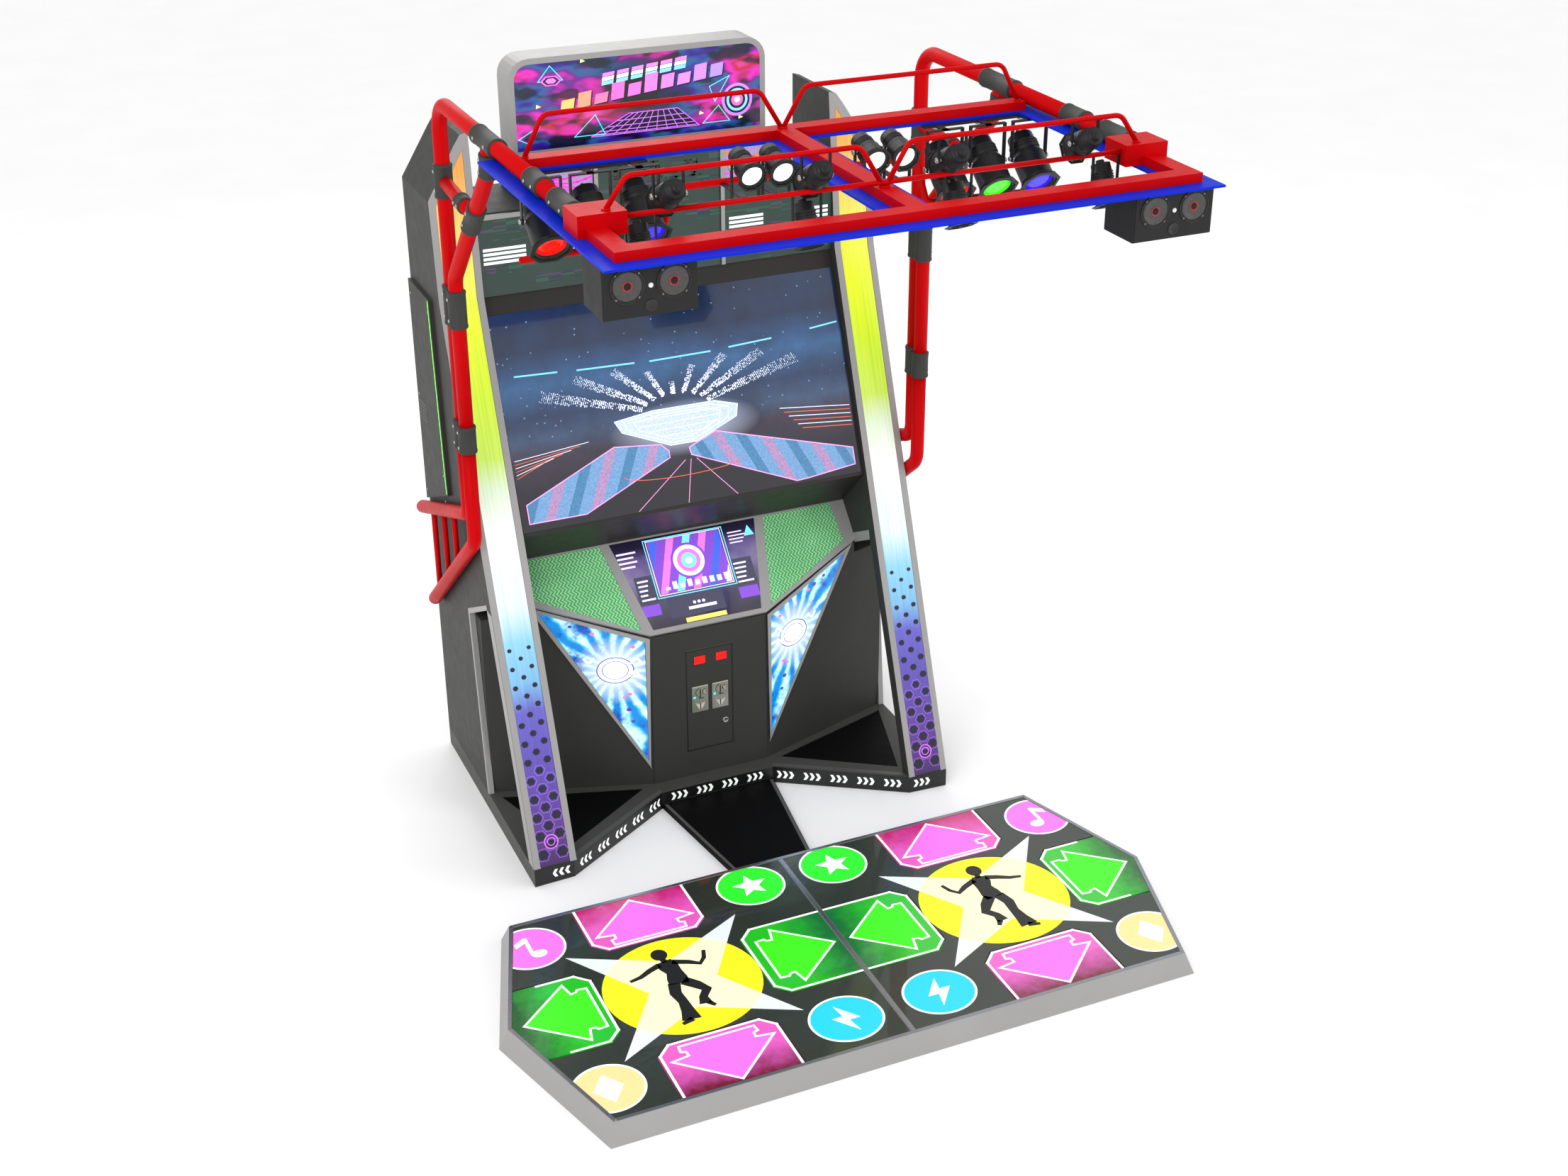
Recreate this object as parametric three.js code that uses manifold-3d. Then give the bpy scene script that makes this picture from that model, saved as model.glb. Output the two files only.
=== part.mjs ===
// Dance rhythm machine: cabinet with leaning light pillars, stage deck with
// eight arrow tiles, and an overhead lamp truss carried by two tube frames.
// Millimetres, +X to the right of a player facing the screen, +Y to the back, +Z up.
import * as THREE from 'three';
import { mergeVertices } from 'three/addons/utils/BufferGeometryUtils.js';
import Module from 'manifold-3d';

const wasm = await Module();
wasm.setup();

// ---------------------------------------------------------------- driving dimensions
// Y is measured here from the front foot of the side pillars.
const gap = 0.3;                       // clearance between touching pieces

const cabinet = { half: 733, inner: 592, back: 964, plinth: 65 };
const pillar = { bendY: 629, bendZ: 1738, topY: 685, topZ: 2235, outerTopZ: 2044, thick: 48, trim: 22 };
const column = { lowZ: 715, lowY: 553, footY: 480, wall: 15.5 };
const body = { back: 958, lipZ: 762, deckZ: 1988, neckHalf: 428, neckBack: 930, neckZ: 2103.6 };

const fascia = { lowY: 310, lowZ: 635, topY: 541, topZ: 875, thick: 12, half: 590.5, lipV: 185 };
const screen = { lowY: 384, lowZ: 1031, topY: 638, topZ: 1671, half: 584, thick: 13.5 };
const band = { topY: 661, topZ: 1727 };
const poster = { y: 655, lowZ: 1727.6, shelfZ: 1985, topZ: 2118, half: 590.5, upperHalf: 428,
  thick: 8.2, bar: 13 };
const marquee = { half: 423, lowZ: 2104, topZ: 2404, frontY: 802, backY: 917, corner: 65, rim: 18, recess: 6 };
const facet = { y0: 320, x0: 235, slope: 0.3375, thick: 8 };

const coinBox = { half: 206, frontY: 318, backY: 497, topZ: 622, wall: 8 };
const coinDoor = { half: 80.5, lowZ: 164, topZ: 538, thick: 6 };
const coinMech = { x: 36, half: 29, lowZ: 308, topZ: 406, depth: 40, proud: 4 };
const rejectButton = { radius: 9, z: 382, bore: 9.6 };
const doorLock = { x: 55, z: 253, radius: 11, length: 26 };
const rearDoor = { half: 397.5, lowZ: 152.5, topZ: 997.5, thick: 14, play: 2.5 };
// The step under the screen, as [y, z]: its front edge, and the back of the strip that covers it.
const undercut = { front: [541.2, 875.3], backHigh: [548.4, 882.4], backLow: [404.6, 1025.4] };
// The room inside the cabinet, as [y, z], a wall's thickness behind each face.
const room = { half: 575, outline: [[515, 82], [943, 82], [943, 1970], [690, 1970], [690, 1735], [672, 1680],
  [428, 1062], [432, 1046], [577, 902], [577, 858], [515, 795]] };
// What stands on the floor of that room: x, y and z ranges.
const cashBoxSize = [-90, 90, 345, 480, 74, 190];
const computerSize = [-300, -90, 620, 800, 82.3, 290];
const supplySize = [80, 270, 640, 790, 82.3, 180];

const deck = { backY: -246, midY: -710, frontY: -1194, backHalf: 893, midHalf: 1042, frontHalf: 899,
  height: 63, flare: 27, rim: 12, divider: 8, floorZ: 38, sheet: 10 };
const pad = { x: 516, y: -718, inner: 237, half: 180, sideHalf: 163, corner: 40, thick: 15, travel: 3 };
const duct = { backHalf: 215, frontHalf: 132, height: 18 };

const tubeX = 757;                     // side tube frames
const tube = { radius: 22, sleeve: 27, rearY: 370, frontY: 325, topZ: 2418.5, sleeveLowZ: 1372 };
const brace = { sum: 2240, endY: -100, railY: -115 };   // on the brace, y + z = sum
const stub = { y0: 370, z0: 2190, y1: 72, z1: 2168 };    // level bar from the rear pole to the brace
const poleSleeves = [[1372, 1465], [1764, 1885]];        // z ranges on both poles
const crownSleeve = [2140, 2240];                        // z range on the rear pole only
const railSleeves = [[-28, -200], [-477, -578], [-667, -800]];    // y ranges on the top rail
const braceSleeves = [[118, 2122, 40, 2200], [-96, 2322, -114, 2388]];
const guard = { lowBend: 1075, highBend: 1150, lowEnd: [905, 610], highEnd: [965, 925],
  bars: [560, 690, 820], barRadius: 9 };
const truss = { plateLowZ: 2385, plateTopZ: 2391, topZ: 2415, frontY: -1105, beam: 50, outer: 770,
  rearY: -305, plateHalf: 810, plateFrontY: -1148, plateBackY: -187 };
const cornerBox = { x0: 668, x1: 790, y0: -915, y1: -815, topZ: 2446 };
const hoop = { radius: 6.5, z: 2520, footX: -4, inX: 66, outX: 660, endX: 720, bend: 34,
  rearY: -284, frontY: -890, railZ: 2426 };
const speaker = { x0: 575, x1: 804, y0: -1115, y1: -977, z0: 2259 };
const bigLamp = { radius: 46, rows: [441, 572.5, 704], pivotY: -375, pivotZ: 2279, reach: 90,
  tilt: 40, tail: 80 };
const lampRack = { y: -332, deep: 26, thick: 6, overhang: 40 };
const smallLamp = { radius: 32, reach: 52, tail: 62 };
// Small lamps on the right half: x, height and the tilt they are set to.
const highSpots = { xs: [183, 557], z: 2462, tilt: 150, yoke: 58 };
const lowSpots = { xs: [204, 627], z: 2345, tilt: 62, yoke: 81 };
const rearSpots = { xs: [130, 215], y: -535, z: 2400, tilt: 18 };
const lampBar = { y: -380, radius: 9, raisedZ: 2318, raisedX: 350, lowX: 388, lowZ: 2190, endX: 768, endZ: 2180,
  hanger: [38, 54], bend: 26 };

// Everything is built from the pillar feet and then moved so that the middle of
// the floor area it covers is the origin.
const originShift = -(deck.frontY - deck.flare + cabinet.back) / 2;

const colour = {
  charcoal: [0x383836, 0.62, 0.1], steelGrey: [0x9a9a9a, 0.45, 0.6], black: [0x101010, 0.5, 0.1],
  red: [0xc80b10, 0.32, 0.2], blue: [0x1a38c8, 0.4, 0.2], lampBlack: [0x2a2a2a, 0.5, 0.4],
  stripLight: [0xd8f060, 0.3, 0], display: [0x1c3a5e, 0.15, 0], posterGreen: [0x274038, 0.4, 0],
  marqueeArt: [0xb02ad0, 0.3, 0], grilleGreen: [0x6ad080, 0.6, 0], facetBlue: [0x38b4f0, 0.3, 0],
  sheetDark: [0x2b3326, 0.25, 0], tilePink: [0xf04ac8, 0.25, 0], tileGreen: [0x16c01a, 0.25, 0],
  chrome: [0xc8c8c8, 0.2, 1], case: [0x6e7478, 0.5, 0.5],
};

// ---------------------------------------------------------------- geometry helpers
function toSolid(geometry) {
  const bare = geometry.clone();
  bare.deleteAttribute('normal');
  bare.deleteAttribute('uv');
  const merged = mergeVertices(bare, 1e-3);
  const vertProperties = new Float32Array(merged.attributes.position.array);
  const triVerts = new Uint32Array(merged.index.array);
  return new wasm.Manifold(new wasm.Mesh({ numProp: 3, vertProperties, triVerts }));
}

function toGeometry(solid) {
  const mesh = solid.getMesh();
  const geometry = new THREE.BufferGeometry();
  geometry.setAttribute('position', new THREE.BufferAttribute(mesh.vertProperties, 3));
  geometry.setIndex(new THREE.BufferAttribute(mesh.triVerts, 1));
  geometry.computeVertexNormals();
  return geometry;
}

function counterClockwise(outline) {
  const points = outline.map(([u, v]) => new THREE.Vector2(u, v));
  return THREE.ShapeUtils.isClockWise(points) ? points.reverse() : points;
}

// A flat outline in the plane of u and v, made `depth` thick along u x v.
function slab(outline, origin, u, v, depth) {
  const shape = new THREE.Shape(counterClockwise(outline));
  const geometry = new THREE.ExtrudeGeometry(shape, { depth, bevelEnabled: false });
  const uAxis = new THREE.Vector3(...u).normalize();
  const vAxis = new THREE.Vector3(...v).normalize();
  const normal = uAxis.clone().cross(vAxis);
  geometry.applyMatrix4(new THREE.Matrix4().makeBasis(uAxis, vAxis, normal));
  geometry.translate(...origin);
  return toSolid(geometry);
}

const alongX = (outline, x0, x1) => slab(outline, [x0, 0, 0], [0, 1, 0], [0, 0, 1], x1 - x0);
const alongY = (outline, y0, y1) => slab(outline, [0, y1, 0], [1, 0, 0], [0, 0, 1], y1 - y0);
const alongZ = (outline, z0, z1) => slab(outline, [0, 0, z0], [1, 0, 0], [0, 1, 0], z1 - z0);

function block(x0, x1, y0, y1, z0, z1) {
  const geometry = new THREE.BoxGeometry(x1 - x0, y1 - y0, z1 - z0);
  geometry.translate((x0 + x1) / 2, (y0 + y1) / 2, (z0 + z1) / 2);
  return toSolid(geometry);
}

function rod(from, to, radius, sides = 8) {
  const start = new THREE.Vector3(...from);
  const end = new THREE.Vector3(...to);
  const along = end.clone().sub(start);
  const geometry = new THREE.CylinderGeometry(radius, radius, along.length(), sides);
  const turn = new THREE.Quaternion().setFromUnitVectors(new THREE.Vector3(0, 1, 0), along.clone().normalize());
  geometry.applyQuaternion(turn);
  geometry.translate(...start.add(end).multiplyScalar(0.5).toArray());
  return toSolid(geometry);
}

// A route of straight stretches whose corners are rounded to `bend`.
class Route extends THREE.Curve {
  constructor(corners, bend, turns = 3) {
    super();
    const points = corners.map((corner) => new THREE.Vector3(...corner));
    this.stops = [points[0]];
    for (let i = 1; i < points.length - 1; i += 1) {
      const before = points[i - 1].clone().sub(points[i]);
      const after = points[i + 1].clone().sub(points[i]);
      const half = before.angleTo(after) / 2;
      const reach = Math.min(bend / Math.tan(half), before.length() * 0.48, after.length() * 0.48);
      const start = points[i].clone().addScaledVector(before.normalize(), reach);
      const end = points[i].clone().addScaledVector(after.normalize(), reach);
      for (let k = 0; k <= turns; k += 1) {
        const t = k / turns;
        const leg = start.clone().lerp(points[i], t);
        this.stops.push(leg.lerp(points[i].clone().lerp(end, t), t));
      }
    }
    this.stops.push(points[points.length - 1]);
  }

  getPoint(t, target = new THREE.Vector3()) {
    const place = Math.min(t, 1) * (this.stops.length - 1);
    const index = Math.min(Math.floor(place), this.stops.length - 2);
    return target.copy(this.stops[index]).lerp(this.stops[index + 1], place - index);
  }

  getPointAt(t, target) {
    return this.getPoint(t, target);
  }
}

function bentTube(corners, radius, bend, sides = 8) {
  const route = new Route(corners, bend);
  const ring = new THREE.EllipseCurve(0, 0, radius, radius).getPoints(sides);
  const section = new THREE.Shape(ring.slice(0, sides));
  const geometry = new THREE.ExtrudeGeometry(section, {
    steps: route.stops.length - 1, extrudePath: route, bevelEnabled: false });
  const solid = toSolid(geometry);
  return solid.volume() > 0 ? solid : toSolid(flipped(geometry));
}

function flipped(geometry) {
  const index = mergeVertices(geometry).clone();
  index.setIndex(Array.from(index.index.array).reverse());
  return index;
}

const join = (...solids) => solids.reduce((all, next) => all.add(next));
const cut = (solid, ...tools) => tools.reduce((left, tool) => left.subtract(tool), solid);
const mirrorX = (solid) => solid.mirror([1, 0, 0]);
const mirrored = (outline) => outline.map(([x, other]) => [-x, other]);
const symmetric = (outline) => [...outline, ...mirrored(outline).reverse()];
const shifted = (outline, du, dv) => outline.map(([u, v]) => [u + du, v + dv]);

// ---------------------------------------------------------------- scene graph
const machine = new THREE.Group();
machine.position.y = originShift;

function material(name) {
  const [color, roughness, metalness] = colour[name];
  return new THREE.MeshStandardMaterial({ color, roughness, metalness });
}

function part(name, solid, paint, place = [0, 0, 0], tilt = 0) {
  const mesh = new THREE.Mesh(toGeometry(solid), material(paint));
  mesh.name = name;
  mesh.position.set(...place);
  mesh.rotation.x = tilt;
  machine.add(mesh);
}

// Both sides of a mirrored piece, named for the player's left and right.
function pair(name, solid, paint) {
  part(`${name}_right`, solid, paint);
  part(`${name}_left`, mirrorX(solid), paint);
}

// ---------------------------------------------------------------- base plinth
const plinthFront = [[202, 259], [599, 7], [cabinet.half, 0]];

function basePlinth() {
  const skin = 5;
  const outline = symmetric([...plinthFront, [cabinet.half, cabinet.back]]);
  const hollowFront = plinthFront.map(([x, y]) => [Math.min(x + 3, cabinet.half - skin), y + skin]);
  const hollow = symmetric([...hollowFront, [cabinet.half - skin, cabinet.back - skin]]);
  const pocket = [[250, 306], [700, 452], [590, 80]];
  const pocketDepth = 2.5;
  const top = cabinet.plinth;
  return cut(alongZ(outline, 0, top), alongZ(hollow, -1, top - skin),
    alongZ(pocket, top - pocketDepth, top + 1), alongZ(mirrored(pocket), top - pocketDepth, top + 1));
}

// ---------------------------------------------------------------- side frames
const pillarSlope = pillar.bendY / (pillar.bendZ - cabinet.plinth);
const pillarFront = (z) => (z - cabinet.plinth) * pillarSlope;
const footZ = cabinet.plinth + gap;
const topCorner = [[cabinet.half, pillar.outerTopZ], [640, 2195], [617, 2228], [cabinet.inner, pillar.topZ]];

function pillarTopCut(du, dv) {
  const beyond = [[500, 2400], [900, 2400], [900, pillar.outerTopZ]];
  return alongY([...shifted(topCorner, du, dv), [500, pillar.topZ + dv], ...beyond], -50, 1100);
}

// A layer of the pillar front, from `near` to `far` behind its face.
function frontLayer(near, far, x0, x1) {
  const face = [[0, footZ + 4], [pillar.bendY, pillar.bendZ], [pillar.topY, pillar.topZ + 20]];
  const back = shifted(face, far, 0).reverse();
  return alongX([...shifted(face, near, 0), ...back], x0, x1);
}

function sideFrame() {
  const splitZ = 830;
  const rearY = pillarFront(splitZ) + pillar.thick;
  const upper = alongX([[pillarFront(splitZ), splitZ], [pillar.bendY, pillar.bendZ], [pillar.topY, pillar.topZ],
    [cabinet.back, pillar.topZ], [cabinet.back, column.lowZ], [column.lowY, column.lowZ], [rearY, splitZ]],
  cabinet.inner, cabinet.half);
  const lower = alongX([[0, footZ], [pillarFront(splitZ), splitZ], [rearY, splitZ], [pillar.thick, footZ]],
    cabinet.inner, cabinet.half);
  const wall = alongX([[column.footY, footZ], [column.lowY, column.lowZ], [cabinet.back, column.lowZ],
    [cabinet.back, footZ]], cabinet.half - column.wall, cabinet.half);
  const raised = [[665, 1085], [714, 1722], [952, 1722], [952, 960]];
  const sidePanel = alongX(raised, cabinet.half - 1, cabinet.half + 12);
  const recess = cut(frontLayer(-30, 7, cabinet.inner + pillar.trim, cabinet.half - pillar.trim),
    pillarTopCut(-17, -24));
  return cut(join(upper, lower, wall, sidePanel), pillarTopCut(0, 0), recess);
}

function lightStrip() {
  const side = pillar.trim + gap;
  return cut(frontLayer(0.8, 6.7, cabinet.inner + side, cabinet.half - side), pillarTopCut(-17.5, -24.5));
}

// ---------------------------------------------------------------- cabinet body
const fasciaAlong = new THREE.Vector2(fascia.topY - fascia.lowY, fascia.topZ - fascia.lowZ).normalize();
const screenAlong = new THREE.Vector2(screen.topY - screen.lowY, screen.topZ - screen.lowZ).normalize();

// Points behind a sloping face, in [y, z].
const behind = ([y, z], along, depth) => [y + along.y * depth, z - along.x * depth];
const onFascia = (v) => [fascia.lowY + fasciaAlong.x * v, fascia.lowZ + fasciaAlong.y * v];
const onScreen = (s) => [screen.lowY + screenAlong.x * s, screen.lowZ + screenAlong.y * s];
const fasciaLength = Math.hypot(fascia.topY - fascia.lowY, fascia.topZ - fascia.lowZ);
const screenLength = Math.hypot(screen.topY - screen.lowY, screen.topZ - screen.lowZ);

function facetWall(x) {
  return facet.y0 + facet.slope * (x - facet.x0);
}

function cabinetCore() {
  const clear = fascia.thick + 0.7;
  const backSlot = screen.thick + 1.5;
  const half = cabinet.inner - 0.7;
  const lip = behind(onFascia(176), fasciaAlong, clear);
  const upper = alongX([lip, behind(onFascia(fasciaLength), fasciaAlong, clear),
    ...shifted([undercut.backHigh, undercut.backLow], 0.7, 0.8), behind(onScreen(11), screenAlong, backSlot),
    behind(onScreen(screenLength), screenAlong, backSlot), [675.6, 1721], [675.6, poster.lowZ - 0.4],
    [poster.y + poster.thick + gap, poster.lowZ - 0.4], [poster.y + poster.thick + gap, body.deckZ],
    [body.back, body.deckZ], [body.back, lip[1] - 2], [lip[0] + 4, lip[1] - 2]], -half, half);
  const neck = block(-body.neckHalf, body.neckHalf, poster.y + poster.thick + gap, body.neckBack,
    body.deckZ - 1, body.neckZ);
  const wallStep = facet.thick + 0.9;
  const near = coinBox.half + 1;
  const far = cabinet.half - 16.5;
  const plan = symmetric([[near, facetWall(near) + wallStep], [far, facetWall(far) + wallStep], [far, body.back]]);
  const toe = behind(onFascia(-20), fasciaAlong, clear);
  const underFascia = alongX([[toe[0], 60], toe, lip, [body.back + 1, lip[1]], [body.back + 1, 60]], -800, 800);
  const shoulder = alongY(symmetric([[far + 0.1, 60], [far + 0.1, column.lowZ - 0.5], [half, column.lowZ - 0.5],
    [half, body.lipZ]]), 200, 1000);
  const lower = alongZ(plan, footZ, body.lipZ).intersect(underFascia).intersect(shoulder);
  const coinBay = block(-coinBox.half - 1, coinBox.half + 1, 200, coinBox.backY + 1, 0, coinBox.topZ + 1);
  const inside = alongX(room.outline, -room.half, room.half);
  const doorHalf = rearDoor.half + rearDoor.play;
  const doorway = block(-doorHalf, doorHalf, 900, 1000, rearDoor.lowZ - rearDoor.play,
    rearDoor.topZ + rearDoor.play);
  return cut(join(upper, neck, lower), coinBay, inside, doorway);
}

function rearDoorPanel() {
  return block(-rearDoor.half, rearDoor.half, body.back - 0.5 - rearDoor.thick, body.back - 0.5,
    rearDoor.lowZ, rearDoor.topZ);
}

function screenSurround() {
  const depth = screen.thick + 1;
  const half = cabinet.inner - 0.6;
  const lowBand = alongX([undercut.front, [screen.lowY, screen.lowZ], onScreen(10.8),
    behind(onScreen(10.8), screenAlong, depth), undercut.backLow, undercut.backHigh], -half, half);
  const highBand = alongX([onScreen(screenLength + 0.8), [band.topY, band.topZ],
    behind([band.topY, band.topZ], screenAlong, depth),
    behind(onScreen(screenLength + 0.8), screenAlong, depth)], -half, half);
  const edge = [onScreen(8), onScreen(screenLength + 4), behind(onScreen(screenLength + 4), screenAlong, depth),
    behind(onScreen(8), screenAlong, depth)];
  const side = alongX(edge, screen.half + 0.6, half);
  return join(lowBand, highBand, side, mirrorX(side));
}

function mainScreen() {
  const low = onScreen(11.2);
  const high = onScreen(screenLength + 0.4);
  return alongX([low, high, behind(high, screenAlong, screen.thick), behind(low, screenAlong, screen.thick)],
    -screen.half, screen.half);
}

function posterPanel() {
  const outline = symmetric([[poster.half, poster.lowZ], [poster.half, poster.shelfZ],
    [poster.upperHalf, poster.shelfZ], [poster.upperHalf, poster.topZ]]);
  const sheet = alongY(outline, poster.y, poster.y + poster.thick);
  const barFront = poster.y - 6;
  const bars = [block(-poster.upperHalf, poster.upperHalf, barFront, poster.y + 1,
    poster.topZ - 15, poster.topZ)];
  for (const side of [-1, 1]) {
    const inner = side > 0 ? poster.upperHalf - 1 : -poster.half;
    const width = poster.half - poster.upperHalf + 1;
    bars.push(block(inner, inner + width, barFront, poster.y + 1, poster.shelfZ - 15, poster.shelfZ));
    const middle = side * 209;
    bars.push(block(middle - poster.bar / 2, middle + poster.bar / 2, barFront, poster.y + 1,
      poster.lowZ, poster.topZ));
  }
  return join(sheet, ...bars);
}

// ---------------------------------------------------------------- marquee
function roundedTop(half, low, high, corner) {
  const steps = 6;
  const side = [[half, low]];
  for (let i = 0; i <= steps; i += 1) {
    const angle = (Math.PI / 2) * (i / steps);
    side.push([half - corner + corner * Math.cos(angle), high - corner + corner * Math.sin(angle)]);
  }
  return symmetric(side);
}

function marqueeBox() {
  const rim = marquee.rim;
  const outer = alongY(roundedTop(marquee.half, marquee.lowZ, marquee.topZ, marquee.corner),
    marquee.frontY, marquee.backY);
  const recess = alongY(roundedTop(marquee.half - rim, marquee.lowZ + rim, marquee.topZ - rim,
    marquee.corner - rim), marquee.frontY - 1, marquee.frontY + marquee.recess);
  return cut(outer, recess);
}

function marqueeFace() {
  const rim = marquee.rim + gap;
  return alongY(roundedTop(marquee.half - rim, marquee.lowZ + rim, marquee.topZ - rim, marquee.corner - rim),
    marquee.frontY + 1, marquee.frontY + marquee.recess - gap);
}

// ---------------------------------------------------------------- control fascia
const monitorOutline = symmetric([[191, 16], [258, fasciaLength - 6]]);
const grilleOutline = [[229, 20], [290, fasciaLength - 6], [539, fasciaLength - 4], [548, 190]];

// A plate in the fascia plane: u is X and v runs up the slope.
function fasciaPlate(outline, near, thick) {
  const [y, z] = behind(onFascia(0), fasciaAlong, near + thick);
  return slab(outline, [0, y, z], [1, 0, 0], [0, fasciaAlong.x, fasciaAlong.y], thick);
}

function controlFascia() {
  const outline = symmetric([[206, 0], [fascia.half - 8, fascia.lipV - 3], [fascia.half, fascia.lipV],
    [fascia.half, fasciaLength]]);
  const through = (shape) => fasciaPlate(shape, -5, fascia.thick + 10);
  return cut(fasciaPlate(outline, 0, fascia.thick), through(monitorOutline), through(grilleOutline),
    through(mirrored(grilleOutline)));
}

function inset(outline, amount) {
  const points = counterClockwise(outline);
  return points.map((point, i) => {
    const before = points[(i + points.length - 1) % points.length];
    const after = points[(i + 1) % points.length];
    const a = point.clone().sub(before).normalize();
    const b = after.clone().sub(point).normalize();
    const normal = new THREE.Vector2(-a.y - b.y, a.x + b.x).normalize();
    const reach = amount / Math.cos(Math.acos(THREE.MathUtils.clamp(a.dot(b), -1, 1)) / 2);
    return [point.x + normal.x * reach, point.y + normal.y * reach];
  });
}

const touchMonitor = () => fasciaPlate(inset(monitorOutline, 0.4), 1, 10);
const grille = () => fasciaPlate(inset(grilleOutline, 0.4), 1.5, 8);

function facetLight() {
  const length = Math.hypot(1, facet.slope);
  const corners = [[224, 611], [224, 165], [543, 733]];
  const outline = corners.map(([x, z]) => [(x - facet.x0) * length, z]);
  const along = [1 / length, facet.slope / length, 0];
  const back = [facet.x0 - along[1] * facet.thick, facet.y0 + along[0] * facet.thick, 0];
  return slab(outline, back, along, [0, 0, 1], facet.thick);
}

// ---------------------------------------------------------------- coin cabinet
function coinCabinet() {
  const { half, frontY, backY, topZ, wall } = coinBox;
  const room = block(-half + wall, half - wall, frontY + wall, backY - wall, footZ + wall, topZ - wall);
  const doorway = block(-coinDoor.half - 1, coinDoor.half + 1, frontY - 1, frontY + wall + 1,
    coinDoor.lowZ - 1, coinDoor.topZ + 1);
  return cut(block(-half, half, frontY, backY, footZ, topZ), room, doorway);
}

const doorFaceY = coinBox.frontY + 1;

function coinDoorPanel() {
  const { half, lowZ, topZ, thick } = coinDoor;
  const holes = [-1, 1].map((side) => block(side * coinMech.x - coinMech.half - gap,
    side * coinMech.x + coinMech.half + gap, 300, 350, coinMech.lowZ - gap, coinMech.topZ + gap));
  const lockHole = rod([doorLock.x, 300, doorLock.z], [doorLock.x, 350, doorLock.z], doorLock.radius + gap, 16);
  return cut(block(-half, half, doorFaceY, doorFaceY + thick, lowZ, topZ), ...holes, lockHole);
}

function coinMechBody() {
  const { x, half, lowZ, topZ, depth, proud } = coinMech;
  const housing = block(x - half, x + half, doorFaceY - proud, doorFaceY + depth, lowZ, topZ);
  const slot = block(x - 2, x + 2, 300, doorFaceY + depth - 6, lowZ + 52, lowZ + 84);
  const tray = block(x - 20, x + 20, 300, doorFaceY + 14, lowZ + 8, lowZ + 34);
  const bore = rod([x + 17, 300, rejectButton.z], [x + 17, doorFaceY + 22, rejectButton.z],
    rejectButton.bore, 16);
  return cut(housing, slot, tray, bore);
}

function rejectPush() {
  const x = coinMech.x + 17;
  return rod([x, doorFaceY - coinMech.proud - 6, rejectButton.z], [x, doorFaceY + 15, rejectButton.z],
    rejectButton.radius, 16);
}

function lockCylinder() {
  const { x, z, radius, length } = doorLock;
  const barrel = rod([x, doorFaceY - 4, z], [x, doorFaceY + length, z], radius, 16);
  const cam = block(x - 7, x + 7, doorFaceY + length - 5, doorFaceY + length, z - 6, z + 32);
  const keyway = block(x - 1.2, x + 1.2, doorFaceY - 5, doorFaceY + 8, z - 5, z + 5);
  return cut(join(barrel, cam), keyway);
}

function cashBox() {
  const [x0, x1, y0, y1, z0, z1] = cashBoxSize;
  const wall = 4;
  const inside = block(x0 + wall, x1 - wall, y0 + wall, y1 - wall, z0 + wall, z1 + 1);
  return cut(block(x0, x1, y0, y1, z0, z1), inside);
}

// A closed case with a raised front plate.
function cased([x0, x1, y0, y1, z0, z1], inset) {
  const plate = block(x0 + inset, x1 - inset, y0 - 8, y0 + 2, z0 + 8, z1 - 9);
  return join(block(x0, x1, y0, y1, z0, z1), plate);
}

// ---------------------------------------------------------------- stage deck
const deckTop = symmetric([[deck.frontHalf, deck.frontY], [deck.midHalf, deck.midY],
  [deck.backHalf, deck.backY]]);

function frustum(low, high, z0, z1) {
  const count = low.length;
  const rings = [...low.map(([x, y]) => [x, y, z0]), ...high.map(([x, y]) => [x, y, z1])];
  const index = [];
  for (let i = 0; i < count; i += 1) {
    const next = (i + 1) % count;
    index.push(i, next, count + next, i, count + next, count + i);
  }
  for (let i = 1; i < count - 1; i += 1) {
    index.push(0, i + 1, i, count, count + i, count + i + 1);
  }
  const geometry = new THREE.BufferGeometry();
  geometry.setAttribute('position', new THREE.Float32BufferAttribute(rings.flat(), 3));
  geometry.setIndex(index);
  return toSolid(geometry);
}

const ordered = (outline) => counterClockwise(outline).map((point) => [point.x, point.y]);

// The four arrow tiles of the right half, around the middle of that half.
function tileOutlines() {
  const { x, y, inner, half, sideHalf, corner } = pad;
  const reach = 480;
  const chevron = (dx, dy, halfWidth, far) => {
    const place = (along, across) => [x + dx * along - dy * across, y + dy * along + dx * across];
    return [place(far, -halfWidth), place(inner + corner, -halfWidth), place(inner, -halfWidth + corner),
      place(inner, halfWidth - corner), place(inner + corner, halfWidth), place(far, halfWidth)];
  };
  return {
    back: chevron(0, 1, half, reach), front: chevron(0, -1, half, reach),
    outer: chevron(1, 0, sideHalf, 560), inner: chevron(-1, 0, sideHalf, x - deck.divider),
  };
}

const sheetOutline = ordered(inset(deckTop, deck.rim));
const halfField = (margin) => alongZ([[deck.divider + margin, -1300], [1100, -1300], [1100, -100],
  [deck.divider + margin, -100]], 0, 100);

function tileShape(outline, z0, z1, grow) {
  const field = alongZ(ordered(inset(sheetOutline, 1 - grow)), z0, z1);
  return alongZ(inset(outline, -grow), z0, z1).intersect(field).intersect(halfField(1 - grow));
}

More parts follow.
